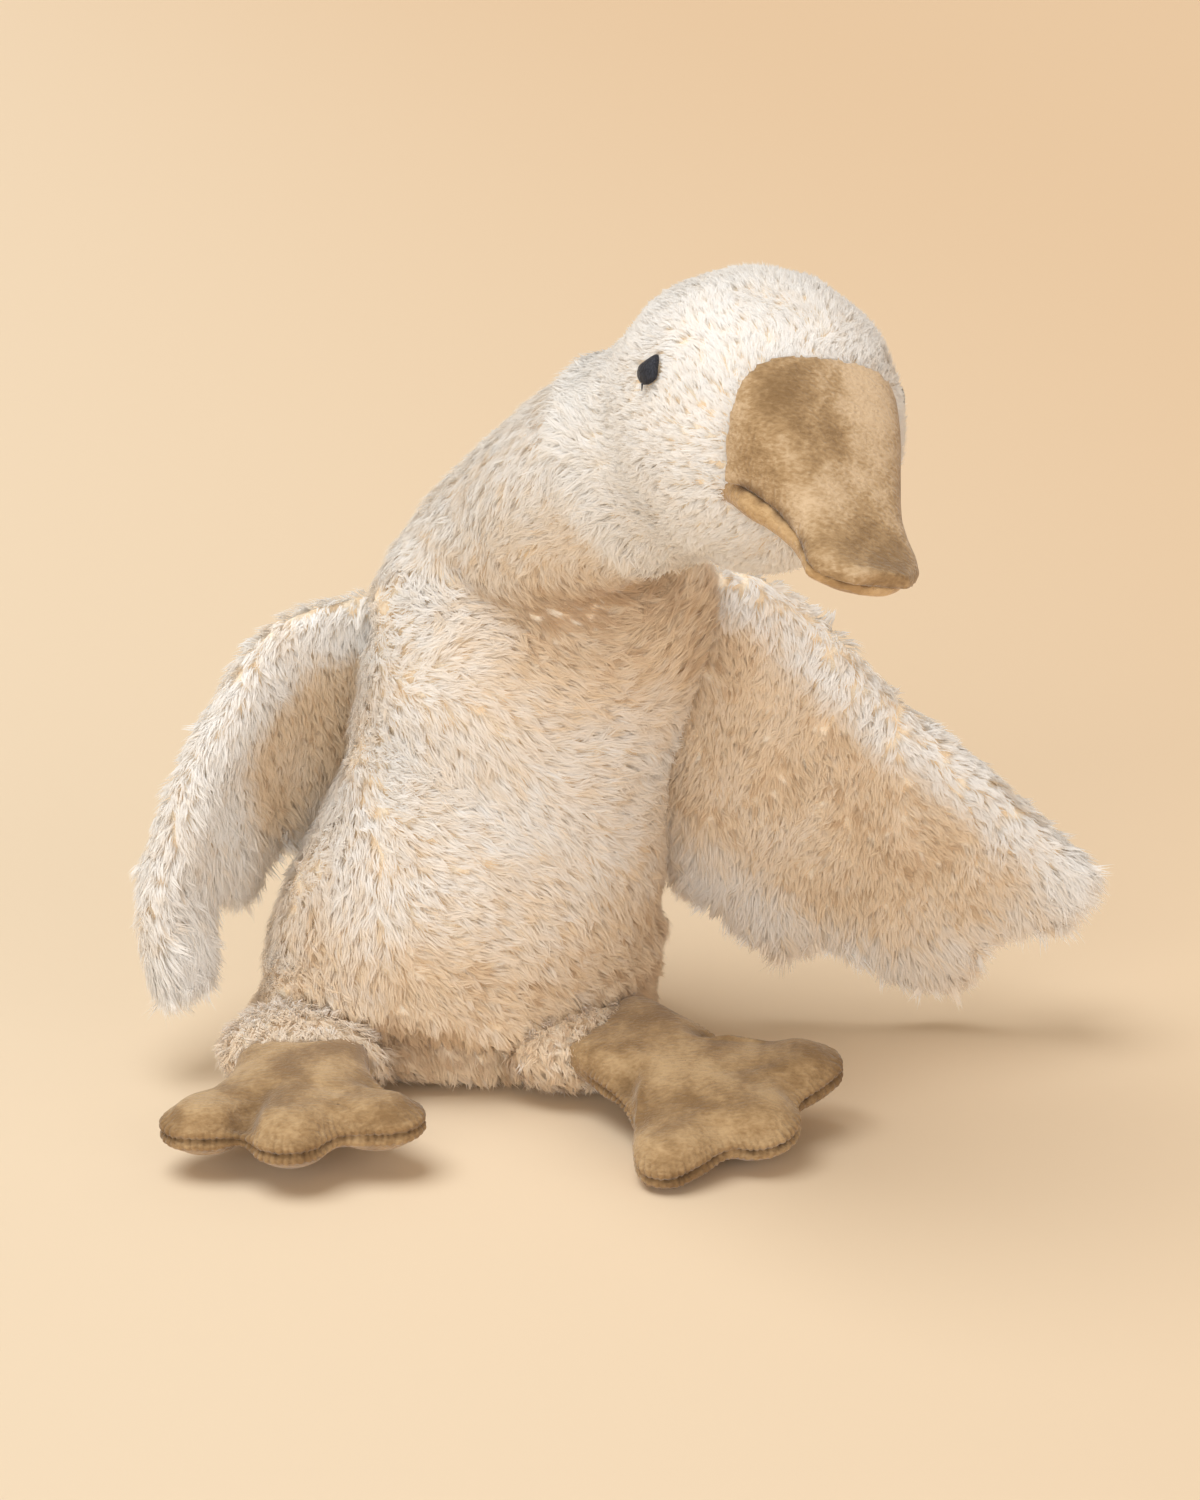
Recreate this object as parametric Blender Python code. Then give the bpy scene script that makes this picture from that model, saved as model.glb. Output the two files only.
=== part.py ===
"""Plush goose, sitting upright with its neck bent forward and to its left.

Metres, +Z up. The origin is the middle of the flat seat under the torso, the
goose looks along -Y and its own left is +X. The stuffed skin of torso, neck,
head and tail is one sewn body. The bill, eyes, wings, legs and feet are sewn on
as pieces of their own, and each is cut back to clear what it is sewn to.
"""
import math

import bmesh
import bpy
import numpy as np

# Fit between neighbouring pieces
SEAM_GAP = 0.0003

# Torso: a stuffed bag that leans to the goose's left
SEAT_WIDTH = 0.142
SEAT_DEPTH = 0.095
SEAT_ROLL_HEIGHT = 0.026
SEAT_CUT_DEPTH = 0.004
BELLY_FOLD_HEIGHT = 0.013
BELLY_FOLD_ROUNDING = 0.010
BELLY_FOOT_WIDTH = 0.122
BELLY_WIDTH = 0.129
BELLY_DEPTH = 0.101
BELLY_HEIGHT = 0.050
WAIST_WIDTH = 0.108
WAIST_DEPTH = 0.084
WAIST_HEIGHT = 0.100
CHEST_WIDTH = 0.112
CHEST_DEPTH = 0.076
CHEST_HEIGHT = 0.146
SHOULDER_WIDTH = 0.108
SHOULDER_DEPTH = 0.060
SHOULDER_RISE = 0.018
SHOULDER_HEIGHT = CHEST_HEIGHT + SHOULDER_RISE
SHOULDER_CROWN = 0.010
TORSO_LEAN = 0.030
BELLY_SHIFT = -0.0075

# Left hip: the side of the skin that shows behind the belly
HIP_WIDTH = 0.054
HIP_DEPTH = 0.070
HIP_TOP = 0.066
HIP_BACK = 0.010

# Head: an egg, turned to the goose's left, nodding down and tilted
HEAD_REACH = 0.0955
HEAD_FORWARD = 0.075
HEAD_RISE = 0.074
HEAD_CENTRE_HEIGHT = SHOULDER_HEIGHT + HEAD_RISE
HEAD_WIDTH = 0.091
HEAD_LENGTH = 0.097
HEAD_DEPTH = 0.091
HEAD_YAW = math.radians(21.5)
HEAD_PITCH = math.radians(-17.0)
HEAD_ROLL = math.radians(12.8)

# Neck: a soft tube folded over from the shoulders to the head.
# Path rows: shares of the way from the root to the head, to the left, ahead and up.
# Girth rows: share of the path, then shares of the neck's radius sideways and front to back.
NECK_RADIUS = 0.0325
NECK_ROOT_ASIDE = 0.30 * TORSO_LEAN
NECK_ROOT_BACK = 0.004
NECK_ROOT_SINK = 0.022
NECK_PATH = (
    (0.00, 0.00, 0.00),
    (0.10, 0.02, 0.25),
    (0.22, 0.16, 0.44),
    (0.42, 0.48, 0.66),
    (0.68, 0.76, 0.83),
    (1.00, 1.00, 1.00),
)
NECK_GIRTH = (
    (0.00, 1.22, 0.86),
    (0.20, 1.07, 0.92),
    (0.45, 0.95, 0.95),
    (0.70, 1.05, 1.05),
    (1.00, 1.20, 1.20),
)

# Tail: a short blunt wedge at the back of the seat
TAIL_LENGTH = 0.034
TAIL_WIDTH = 0.046
TAIL_THICKNESS = 0.022
TAIL_HEIGHT = 0.046
TAIL_SINK = 0.004
TAIL_TILT = math.radians(28.0)

# Bill: a velour sock over the front of the head, in two halves.
# The rim is given as shares of the head's half length and half depth.
# Rows along the bill after the rim: share of the reach, rise of the mouth line, then shares of
# the base height and base width, how upright the row stands, and how far its foot is drawn in.
BILL_REACH = 0.094
BILL_BASE_WIDTH = 0.0645
BILL_BASE_HEIGHT = 0.0405
BILL_BASE_ASIDE = -0.0024
BILL_RIM_MOUTH = (0.86, 0.010)
BILL_RIM_TOP = (0.557, 0.862)
BILL_RIM_PINCH = 0.18
BILL_ROWS = (
    (0.50, 0.0030, 0.725, 0.91, 0.35, 0.17),
    (0.62, 0.0040, 0.455, 0.72, 0.62, 0.12),
    (0.76, 0.0022, 0.285, 0.55, 0.85, 0.04),
    (0.90, -0.0006, 0.190, 0.555, 1.00, 0.00),
    (1.00, 0.0010, 0.130, 0.29, 1.00, 0.00),
)
BILL_SQUARENESS = 0.60
LOWER_BILL_REACH = 0.089
LOWER_BILL_INSET = 0.0008
LOWER_BILL_BASE_DEPTH = 0.0128
LOWER_BILL_TIP_DEPTH = 0.0036
LOWER_BILL_TAPER = 1.0
LOWER_BILL_TIP_START = 0.80
LOWER_BILL_TIP_NARROWING = 0.45

# Eyes: embroidered round dots
EYE_DIAMETER = 0.0092
EYE_HEIGHT = 0.0022
EYE_ELEVATION = math.radians(19.0)
EYE_ADVANCE = math.radians(6.0)

# Wings: a stuffed leading edge with a thinner scalloped flap behind it.
# Left wing rows: shares of the span to the left, metres back, share of the drop or root chord up.
# Right wing rows: shares of the span to the left, of the swing back, of the drop or chord up.
WING_LEADING_THICKNESS = 0.0190
WING_LEADING_SHARE = 0.45
WING_FLAP_THICKNESS = 0.0100
WING_ROOT_SINK = 0.018
WING_ROOT_RISE = 0.012
WING_ROOT_BACK = 0.40
WING_SCALLOPS = 3
WING_SCALLOP_DEPTH = 0.0120
WING_SCALLOP_LIMIT = 0.45
WING_SCALLOP_CREST = 0.72
WING_SCALLOP_TURN = 0.80
WING_PLAIN_SHARE = 0.12
WING_TIP_SHARE = 0.14
LEFT_WING_SPAN = 0.145
LEFT_WING_DROP = 0.104
LEFT_WING_ROOT_CHORD = 0.098
LEFT_WING_CAMBER = 0.003
LEFT_WING_LEADING_ROWS = (
    (0.00, 0.000, 0.03),
    (0.20, 0.000, 0.06),
    (0.38, -0.001, -0.12),
    (0.54, -0.002, -0.36),
    (0.78, -0.003, -0.65),
    (1.01, -0.003, -0.96),
)
LEFT_WING_TRAILING_ROWS = (
    (-0.02, 0.004, -0.96),
    (0.20, 0.002, -1.24),
    (0.48, 0.000, -1.44),
    (0.70, -0.002, -1.42),
    (0.87, -0.003, -1.26),
    (0.98, -0.003, -1.12),
)
RIGHT_WING_SPAN = 0.097
RIGHT_WING_DROP = 0.124
RIGHT_WING_SWING = 0.042
RIGHT_WING_ROOT_CHORD = 0.086
RIGHT_WING_CAMBER = 0.002
RIGHT_WING_LEADING_ROWS = (
    (-0.21, 0.12, -0.02),
    (-0.55, -0.12, -0.09),
    (-0.77, -0.45, -0.32),
    (-0.92, -0.71, -0.56),
    (-1.01, -0.90, -0.81),
    (-0.96, -1.00, -1.02),
)
RIGHT_WING_TRAILING_ROWS = (
    (-0.26, 0.50, -1.00),
    (-0.41, 0.36, -1.10),
    (-0.57, 0.12, -1.16),
    (-0.69, -0.21, -1.21),
    (-0.76, -0.64, -1.35),
    (-0.86, -0.95, -1.50),
)

# Legs: short furry stubs under the belly
LEG_WIDTH = 0.058
LEG_LENGTH = 0.050
LEG_HEIGHT = 0.028
LEG_FLOOR_CLEARANCE = 0.0015
RIGHT_LEG_ADVANCE = 0.006
LEFT_LEG_ADVANCE = -0.0076
RIGHT_LEG_SPREAD = 0.327 * SEAT_WIDTH
LEFT_LEG_SPREAD = 0.296 * SEAT_WIDTH

# Feet: webbed velour pads with three stuffed toes.
# Outline rows from the heel: share of the ankle's half width or toe radii added, share of the length.
FOOT_LENGTH = 0.080
FOOT_WIDTH = 0.086
FOOT_ANKLE_WIDTH = 0.042
FOOT_THICKNESS = 0.019
FOOT_TOE_RADIUS = 0.015
FOOT_TOE_SPACING = 0.0315
FOOT_WEB_GROOVE = 0.0045
FOOT_WEB_START = 0.45
FOOT_WEB_EASING = 0.25
FOOT_MIDDLE = 0.58
FOOT_CLEARANCE = 0.0006
ANKLE_ROWS = ((0.00, 0.00), (0.80, 0.01), (1.00, 0.12), (1.08, 0.34))
OUTER_TOE_ROWS = ((-0.90, 0.52), (-0.18, 0.65), (0.00, 0.745), (-0.28, 0.83), (-1.00, 0.86))
MIDDLE_TOE_ROWS = ((0.95, 0.875), (0.66, 0.955), (0.00, 1.00))
RIGHT_FOOT_YAW = math.radians(-0.5)
RIGHT_FOOT_HEEL = 0.0
RIGHT_FOOT_LIFT = 0.0100
RIGHT_FOOT_ADVANCE = 0.0
RIGHT_FOOT_PITCH = math.radians(-3.0)
RIGHT_FOOT_ROLL = math.radians(2.0)
LEFT_FOOT_YAW = math.radians(42.0)
LEFT_FOOT_HEEL = 0.015
LEFT_FOOT_LIFT = 0.0105
LEFT_FOOT_ADVANCE = 0.020
LEFT_FOOT_PITCH = math.radians(-7.0)
LEFT_FOOT_ROLL = math.radians(12.0)

# Fineness of the meshes
BODY_VOXEL = 0.0030
BODY_SMOOTHING = 5
BODY_KEEP = 0.13
RING_POINTS = 20
SMALL_RING_POINTS = 16
NECK_RINGS = 18
BILL_RINGS = 13
BILL_FLAT_POINTS = 4
WING_RINGS = 34
WING_RING_POINTS = 16
FOOT_OUTLINE_POINTS = 52
FOOT_RINGS = 5

# Colours of the fabrics, as linear red, green and blue
PLUSH_COLOUR = (0.80, 0.71, 0.58)
BILL_COLOUR = (0.36, 0.25, 0.13)
LOWER_BILL_COLOUR = (0.45, 0.29, 0.14)
FOOT_COLOUR = (0.34, 0.25, 0.14)
EYE_COLOUR = (0.012, 0.014, 0.022)


def clear_scene():
    for item in list(bpy.data.objects):
        bpy.data.objects.remove(item)


def fabric(name, colour, roughness):
    material = bpy.data.materials.new(name)
    material.use_nodes = True
    shader = material.node_tree.nodes["Principled BSDF"]
    shader.inputs["Base Color"].default_value = (*colour, 1.0)
    shader.inputs["Roughness"].default_value = roughness
    shader.inputs["Metallic"].default_value = 0.0
    return material


def ease(value):
    """A smooth step from 0 to 1."""
    t = np.clip(value, 0.0, 1.0)
    return t * t * (3.0 - 2.0 * t)


def through(stations, values, at):
    """A smooth curve through values given at rising stations, read at other places."""
    stations = np.asarray(stations, float)
    values = np.asarray(values, float)
    slopes = np.gradient(values, stations, axis=0)
    at = np.clip(np.atleast_1d(np.asarray(at, float)), stations[0], stations[-1])
    left = np.clip(np.searchsorted(stations, at, side="right") - 1, 0, len(stations) - 2)
    width = stations[left + 1] - stations[left]
    t = (at - stations[left]) / width
    if values.ndim == 2:
        t, width = t[:, None], width[:, None]
    start, end = values[left], values[left + 1]
    rise_start, rise_end = slopes[left] * width, slopes[left + 1] * width
    return (
        start * (2 * t**3 - 3 * t**2 + 1)
        + rise_start * (t**3 - 2 * t**2 + t)
        + end * (3 * t**2 - 2 * t**3)
        + rise_end * (t**3 - t**2)
    )


def unit(vector):
    vector = np.asarray(vector, float)
    return vector / np.linalg.norm(vector)


def loft(rings):
    """One closed skin through a stack of rings of equal size, with a point at each end."""
    rings = [np.asarray(ring, float) for ring in rings]
    count = len(rings[0])
    points = np.vstack(rings + [rings[0].mean(axis=0), rings[-1].mean(axis=0)])
    first_pole = len(points) - 2
    last_pole = len(points) - 1
    faces = []
    for row in range(len(rings) - 1):
        low = row * count
        high = low + count
        for step in range(count):
            following = (step + 1) % count
            faces.append((low + step, low + following, high + following, high + step))
    top = (len(rings) - 1) * count
    for step in range(count):
        following = (step + 1) % count
        faces.append((first_pole, following, step))
        faces.append((last_pole, top + step, top + following))
    return points, faces


def make_object(name, shells, material=None):
    """A mesh object from one or more closed skins, all facing out."""
    mesh = bpy.data.meshes.new(name)
    points, faces, start = [], [], 0
    for shell_points, shell_faces in shells:
        points.extend(shell_points.tolist())
        faces.extend(tuple(start + corner for corner in face) for face in shell_faces)
        start += len(shell_points)
    mesh.from_pydata(points, [], faces)
    work = bmesh.new()
    work.from_mesh(mesh)
    bmesh.ops.remove_doubles(work, verts=work.verts, dist=0.00001)
    bmesh.ops.recalc_face_normals(work, faces=work.faces)
    work.to_mesh(mesh)
    work.free()
    mesh.shade_smooth()
    item = bpy.data.objects.new(name, mesh)
    bpy.context.scene.collection.objects.link(item)
    if material is not None:
        mesh.materials.append(material)
    return item


def ellipse_ring(centre, across, along, count=RING_POINTS):
    """A ring around a centre, spanned by two half-axis vectors."""
    turn = np.linspace(0.0, 2.0 * np.pi, count, endpoint=False)[:, None]
    return np.asarray(centre) + np.cos(turn) * across + np.sin(turn) * along


def egg(centre, frame, half_sizes, rows=13, count=RING_POINTS):
    """An ellipsoid: rings of latitude along the frame's last direction."""
    first, second, third = (np.asarray(axis) * size for axis, size in zip(frame, half_sizes))
    rings = []
    for latitude in np.linspace(-0.5 * np.pi, 0.5 * np.pi, rows + 2)[1:-1]:
        spread = math.cos(latitude)
        middle = np.asarray(centre) + third * math.sin(latitude)
        rings.append(ellipse_ring(middle, first * spread, second * spread, count))
    points, faces = loft(rings)
    points[-2] = np.asarray(centre) - third
    points[-1] = np.asarray(centre) + third
    return points, faces


def torso_size(height):
    """Middle, half width and half depth of the torso at one height."""
    stations = [0.0, BELLY_HEIGHT, WAIST_HEIGHT, CHEST_HEIGHT, SHOULDER_HEIGHT]
    widths = [BELLY_FOOT_WIDTH, BELLY_WIDTH, WAIST_WIDTH, CHEST_WIDTH, SHOULDER_WIDTH]
    depths = [BELLY_DEPTH, BELLY_DEPTH, WAIST_DEPTH, CHEST_DEPTH, SHOULDER_DEPTH]
    middle = BELLY_SHIFT + (TORSO_LEAN - BELLY_SHIFT) * min(height / CHEST_HEIGHT, 1.1)
    return middle, through(stations, widths, height)[0] / 2, through(stations, depths, height)[0] / 2


def torso_ring(height, inward):
    """The torso's outline at a height, drawn in by a distance all round."""
    middle, half_width, half_depth = torso_size(min(height, SHOULDER_HEIGHT))
    return ellipse_ring(
        (middle, 0.0, height), np.array((half_width - inward, 0, 0)), np.array((0, half_depth - inward, 0)))


def torso_shell():
    """The bag above the belly fold, rounded under at the fold and over at the shoulders."""
    rings = []
    for angle in np.radians((80.0, 60.0, 40.0, 20.0)):
        height = BELLY_FOLD_HEIGHT + BELLY_FOLD_ROUNDING * (1.0 - math.sin(angle))
        rings.append(torso_ring(height, BELLY_FOLD_ROUNDING * (1.0 - math.cos(angle))))
    for height in np.linspace(BELLY_FOLD_HEIGHT + BELLY_FOLD_ROUNDING, SHOULDER_HEIGHT, 14):
        rings.append(torso_ring(height, 0.0))
    for angle in np.radians((25.0, 45.0, 62.0, 77.0)):
        height = SHOULDER_HEIGHT + SHOULDER_CROWN * math.sin(angle)
        rings.append(torso_ring(height, SHOULDER_RISE * (1.0 - math.cos(angle))))
    return loft(rings)


def seat_shell():
    """The soft roll that the torso sits on, sunk a little so that it can be cut flat."""
    height = SEAT_ROLL_HEIGHT + SEAT_CUT_DEPTH
    middle = (0.0, 0.0, SEAT_ROLL_HEIGHT - height / 2)
    return egg(middle, np.eye(3), (SEAT_WIDTH / 2, SEAT_DEPTH / 2, height / 2), rows=11)


def hip_shell():
    """The goose's left hip, a little behind the belly and level with the seat."""
    middle = (SEAT_WIDTH / 2 - HIP_WIDTH / 2, HIP_BACK, HIP_TOP / 2)
    return egg(middle, np.eye(3), (HIP_WIDTH / 2, HIP_DEPTH / 2, HIP_TOP / 2), rows=11)


def head_frame():
    """The head's own left, forward and up directions."""
    forward = np.array((
        math.sin(HEAD_YAW) * math.cos(HEAD_PITCH),
        -math.cos(HEAD_YAW) * math.cos(HEAD_PITCH),
        math.sin(HEAD_PITCH)))
    level_left = np.array((math.cos(HEAD_YAW), math.sin(HEAD_YAW), 0.0))
    level_up = np.cross(forward, level_left)
    left = level_left * math.cos(HEAD_ROLL) - level_up * math.sin(HEAD_ROLL)
    return left, forward, np.cross(forward, left)


def head_centre():
    return np.array((HEAD_REACH, -HEAD_FORWARD, HEAD_CENTRE_HEIGHT))


def head_half_sizes():
    return np.array((HEAD_WIDTH, HEAD_LENGTH, HEAD_DEPTH)) / 2


def on_head(left, forward, up):
    """A point given along the head's own directions from its middle."""
    frame = head_frame()
    return head_centre() + left * frame[0] + forward * frame[1] + up * frame[2]


def tube(path, half_widths, half_depths):
    """A tube along a path, its oval rings square to the path."""
    rings = []
    for point, tangent, width, depth in zip(path, np.gradient(path, axis=0), half_widths, half_depths):
        tangent = unit(tangent)
        across = unit(np.cross(tangent, (0.0, 1.0, 0.0)))
        rings.append(ellipse_ring(point, across * width, np.cross(tangent, across) * depth))
    return loft(rings)


def neck_shell():
    """From inside the shoulders up, over the fold and forward into the head."""
    root = np.array((NECK_ROOT_ASIDE, NECK_ROOT_BACK, SHOULDER_HEIGHT - NECK_ROOT_SINK))
    keys = root + (head_centre() - root) * NECK_PATH
    at = np.linspace(0.0, 1.0, NECK_RINGS)
    shares, widths, depths = np.array(NECK_GIRTH).T
    path = through(np.linspace(0.0, 1.0, len(keys)), keys, at)
    return tube(path, NECK_RADIUS * through(shares, widths, at), NECK_RADIUS * through(shares, depths, at))


def tail_shell():
    """A blunt wedge pointing back and up."""
    back = np.array((0.0, math.cos(TAIL_TILT), math.sin(TAIL_TILT)))
    across = np.array((1.0, 0.0, 0.0))
    up = np.cross(across, back)
    middle = np.array((0.0, SEAT_DEPTH / 2 - TAIL_SINK, TAIL_HEIGHT))
    half_sizes = (TAIL_WIDTH / 2, TAIL_THICKNESS / 2, TAIL_LENGTH)
    return egg(middle, (across, up, back), half_sizes, rows=9, count=SMALL_RING_POINTS)


def settled(item):
    """The object with its modifiers worked into its mesh."""
    bpy.context.view_layer.update()
    graph = bpy.context.evaluated_depsgraph_get()
    mesh = bpy.data.meshes.new_from_object(item.evaluated_get(graph))
    item.modifiers.clear()
    item.data = mesh
    return item


def guide(item):
    item.hide_render = True
    item.display_type = "WIRE"
    return item


def cut(item, cutter):
    modifier = item.modifiers.new("clear of " + cutter.name, "BOOLEAN")
    modifier.operation = "DIFFERENCE"
    modifier.solver = "EXACT"
    modifier.object = cutter


def grown_copy(item, name):
    """The same skin, everywhere one seam gap further out, as a hidden cutter."""
    mesh = item.data.copy()
    mesh.name = name
    count = len(mesh.vertices)
    points = np.empty(3 * count, dtype=np.float32)
    normals = np.empty(3 * count, dtype=np.float32)
    mesh.vertices.foreach_get("co", points)
    mesh.vertex_normals.foreach_get("vector", normals)
    mesh.vertices.foreach_set("co", points + normals * SEAM_GAP)
    mesh.update()
    cutter = bpy.data.objects.new(name, mesh)
    bpy.context.scene.collection.objects.link(cutter)
    return guide(cutter)


def make_floor_cutter():
    """A block whose top is the plane that the goose sits on."""
    size = 4.0 * SEAT_WIDTH
    low, high = -0.5 * size, 0.0
    corners = [(-size, -size), (size, -size), (size, size), (-size, size)]
    rings = [np.array([(x, y, z) for x, y in corners]) for z in (low, high)]
    return guide(make_object("floor_cutter", [loft(rings)]))


def make_body(material):
    shells = [
        torso_shell(),
        seat_shell(),
        hip_shell(),
        neck_shell(),
        egg(head_centre(), head_frame(), head_half_sizes(), rows=15),
        tail_shell(),
    ]
    body = make_object("body", shells, material)
    remesh = body.modifiers.new("one skin", "REMESH")
    remesh.mode = "VOXEL"
    remesh.voxel_size = BODY_VOXEL
    remesh.use_smooth_shade = True
    smooth = body.modifiers.new("stuffing", "SMOOTH")
    smooth.factor = 0.5
    smooth.iterations = BODY_SMOOTHING
    thin = body.modifiers.new("fewer faces", "DECIMATE")
    thin.ratio = BODY_KEEP
    cut(body, make_floor_cutter())
    return settled(body)


def bill_rows():
    """Along the bill: mouth line and top line in the head's middle plane, half width, drawing in, shift."""
    _, half_length, half_depth = head_half_sizes()
    rim_mouth = np.array(BILL_RIM_MOUTH) * (half_length, half_depth)
    rim_up = unit(np.array(BILL_RIM_TOP) * (half_length, half_depth) - rim_mouth)
    rim_reach = rim_mouth[0] / BILL_REACH
    mouth, tops = [rim_mouth], [rim_mouth + rim_up * BILL_BASE_HEIGHT]
    half_widths, pinches, shifts = [BILL_BASE_WIDTH / 2], [BILL_RIM_PINCH], [BILL_BASE_ASIDE]
    for reach, rise, height, width, upright, pinch in BILL_ROWS:
        up = unit(rim_up + upright * (np.array((0.0, 1.0)) - rim_up))
        mouth.append(np.array((reach * BILL_REACH, rise)))
        tops.append(mouth[-1] + up * height * BILL_BASE_HEIGHT)
        half_widths.append(width * BILL_BASE_WIDTH / 2)
        pinches.append(pinch)
        shifts.append(BILL_BASE_ASIDE * (1.0 - reach) / (1.0 - rim_reach))
    return np.array(mouth), np.array(tops), np.array(half_widths), np.array(pinches), np.array(shifts)


def bill_ring(mouth, top, half_width, pinch, shift):
    """A boxy dome over or under the mouth line, closed by a flat along it."""
    turn = np.linspace(0.0, np.pi, RING_POINTS)
    rise = np.sin(turn) ** BILL_SQUARENESS
    across = half_width * np.sign(np.cos(turn)) * np.abs(np.cos(turn)) ** BILL_SQUARENESS
    across = across * (1.0 - pinch * (1.0 - rise)) + shift
    line = mouth + rise[:, None] * (top - mouth)
    dome = np.array([on_head(a, f, u) for a, (f, u) in zip(across, line)])
    share = np.linspace(-1.0, 1.0, BILL_FLAT_POINTS + 2)[1:-1]
    flat = np.array([on_head(half_width * (1.0 - pinch) * s + shift, mouth[0], mouth[1]) for s in share])
    return np.vstack((dome, flat))


def make_upper_bill(material, cutters):
    rows = bill_rows()
    stations = np.linspace(0.0, 1.0, len(rows[0]))
    at = np.linspace(0.0, 1.0, BILL_RINGS)
    rings = [bill_ring(*row) for row in zip(*(through(stations, values, at) for values in rows))]
    bill = make_object("upper_beak", [loft(rings)], material)
    for cutter in cutters:
        cut(bill, cutter)
    return bill


def make_lower_bill(material, cutters):
    """Under the mouth line, flush with the upper half at the face and shallower towards its tip."""
    mouth, _, half_widths, pinches, shifts = bill_rows()
    stations = np.linspace(0.0, 1.0, len(mouth))
    share = LOWER_BILL_REACH / BILL_REACH
    rings = []
    for at in np.linspace(0.0, share, BILL_RINGS - 2):
        line = through(stations, mouth, at)[0] - (0.0, SEAM_GAP)
        tip = ease((at / share - LOWER_BILL_TIP_START) / (1.0 - LOWER_BILL_TIP_START))
        narrowing = 1.0 - LOWER_BILL_TIP_NARROWING * tip
        half_width = (through(stations, half_widths, at)[0] - LOWER_BILL_INSET) * narrowing
        taper = min(LOWER_BILL_TAPER * at / share, 1.0)
        depth = LOWER_BILL_BASE_DEPTH + (LOWER_BILL_TIP_DEPTH - LOWER_BILL_BASE_DEPTH) * taper
        pinch, shift = through(stations, pinches, at)[0], through(stations, shifts, at)[0]
        rings.append(bill_ring(line, line - (0.0, depth), half_width, pinch, shift))
    bill = make_object("lower_beak", [loft(rings)], material)
    for cutter in cutters:
        cut(bill, cutter)
    return bill


def make_eye(name, side, material, cutters):
    """A flat dot sewn on the side of the head; side is 1 for the goose's left."""
    direction = np.array((
        side * math.cos(EYE_ELEVATION) * math.cos(EYE_ADVANCE),
        math.cos(EYE_ELEVATION) * math.sin(EYE_ADVANCE),
        math.sin(EYE_ELEVATION)))
    halves = head_half_sizes()
    place = direction / np.linalg.norm(direction / halves)
    left, forward, up = head_frame()
    normal_here = unit(place / halves**2)
    normal = unit(normal_here[0] * left + normal_here[1] * forward + normal_here[2] * up)
    across = unit(np.cross(normal, up))
    frame = (across, np.cross(normal, across), normal)
    half_sizes = (EYE_DIAMETER / 2, EYE_DIAMETER / 2, EYE_HEIGHT)
    shell = egg(on_head(*place), frame, half_sizes, rows=5, count=SMALL_RING_POINTS)
    eye = make_object(name, [shell], material)
    for cutter in cutters:
        cut(eye, cutter)
    return eye


def wing_ring(lead, trail, normal, thickness_share, camber):
    """A wing's section: thick and round at the leading edge, thin at the trailing edge."""
    turn = np.linspace(0.0, 2.0 * np.pi, WING_RING_POINTS, endpoint=False)
    chord = 0.5 - 0.5 * np.cos(turn)
    flap = WING_FLAP_THICKNESS / 2
    nose = WING_LEADING_THICKNESS / 2 - flap
    half = (flap + nose * (1.0 - ease(chord / WING_LEADING_SHARE))) * thickness_share
    rise = np.sign(np.sin(turn)) * np.abs(np.sin(turn)) ** 0.6 * half + camber * 4.0 * chord * (1.0 - chord)
    return lead + chord[:, None] * (trail - lead) + rise[:, None] * normal


def scallop(share):
    """How far the trailing edge is drawn in: each feather runs out slowly and ends sharply."""
    place = (share * WING_SCALLOPS) % 1.0
    run_out = ease(place / WING_SCALLOP_CREST)
    turn_in = ease((place - WING_SCALLOP_TURN) / (1.0 - WING_SCALLOP_TURN))
    return 1.0 - run_out * (1.0 - turn_in)


def wing_tip(share):
    """The wing's thickness along its span, as a share, closing over the tip."""
    past = max(share - (1.0 - WING_TIP_SHARE), 0.0) / WING_TIP_SHARE
    return math.sqrt(max(1.0 - 0.90 * past**2, 0.05))


def wing_shell(leads, trails, facing, camber):
    """A stuffed flap between a leading and a trailing edge, closed to a rounded tip."""
    stations = np.linspace(0.0, 1.0, len(leads))
    at = np.linspace(0.0, 1.0, WING_RINGS)
    lead = through(stations, leads, at)
    trail = through(stations, trails, at)
    span = np.gradient(lead + trail, axis=0)
    rings = []
    for share, front, back, along in zip(at, lead, trail, span):
        chord = back - front
        normal = unit(np.cross(along, chord))
        if np.dot(normal, facing) < 0:
            normal = -normal
        free = ease((share - WING_PLAIN_SHARE) / 0.10)
        drawn = WING_SCALLOP_DEPTH * free * float(scallop(share)) / np.linalg.norm(chord)
        back = back - chord * min(drawn, WING_SCALLOP_LIMIT)
        rings.append(wing_ring(front, back, normal, wing_tip(share), camber))
    return loft(rings)


def wing_root(side):
    """The seam on the torso's side: its upper end, a little inside the skin."""
    height = CHEST_HEIGHT + WING_ROOT_RISE
    middle, half_width, half_depth = torso_size(height)
    return np.array((middle + side * (half_width - WING_ROOT_SINK), WING_ROOT_BACK * half_depth, height))


def make_left_wing(material, cutters):
    """Spread out to the goose's left and sloping down."""
    root = wing_root(1)
    leads = root + np.array(LEFT_WING_LEADING_ROWS) * (LEFT_WING_SPAN, 1.0, LEFT_WING_DROP)
    trails = root + np.array(LEFT_WING_TRAILING_ROWS) * (LEFT_WING_SPAN, 1.0, LEFT_WING_ROOT_CHORD)
    shell = wing_shell(leads, trails, (0.0, -1.0, 0.0), LEFT_WING_CAMBER)
    wing = make_object("left_wing", [shell], material)
    for cutter in cutters:
        cut(wing, cutter)
    return wing


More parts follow.
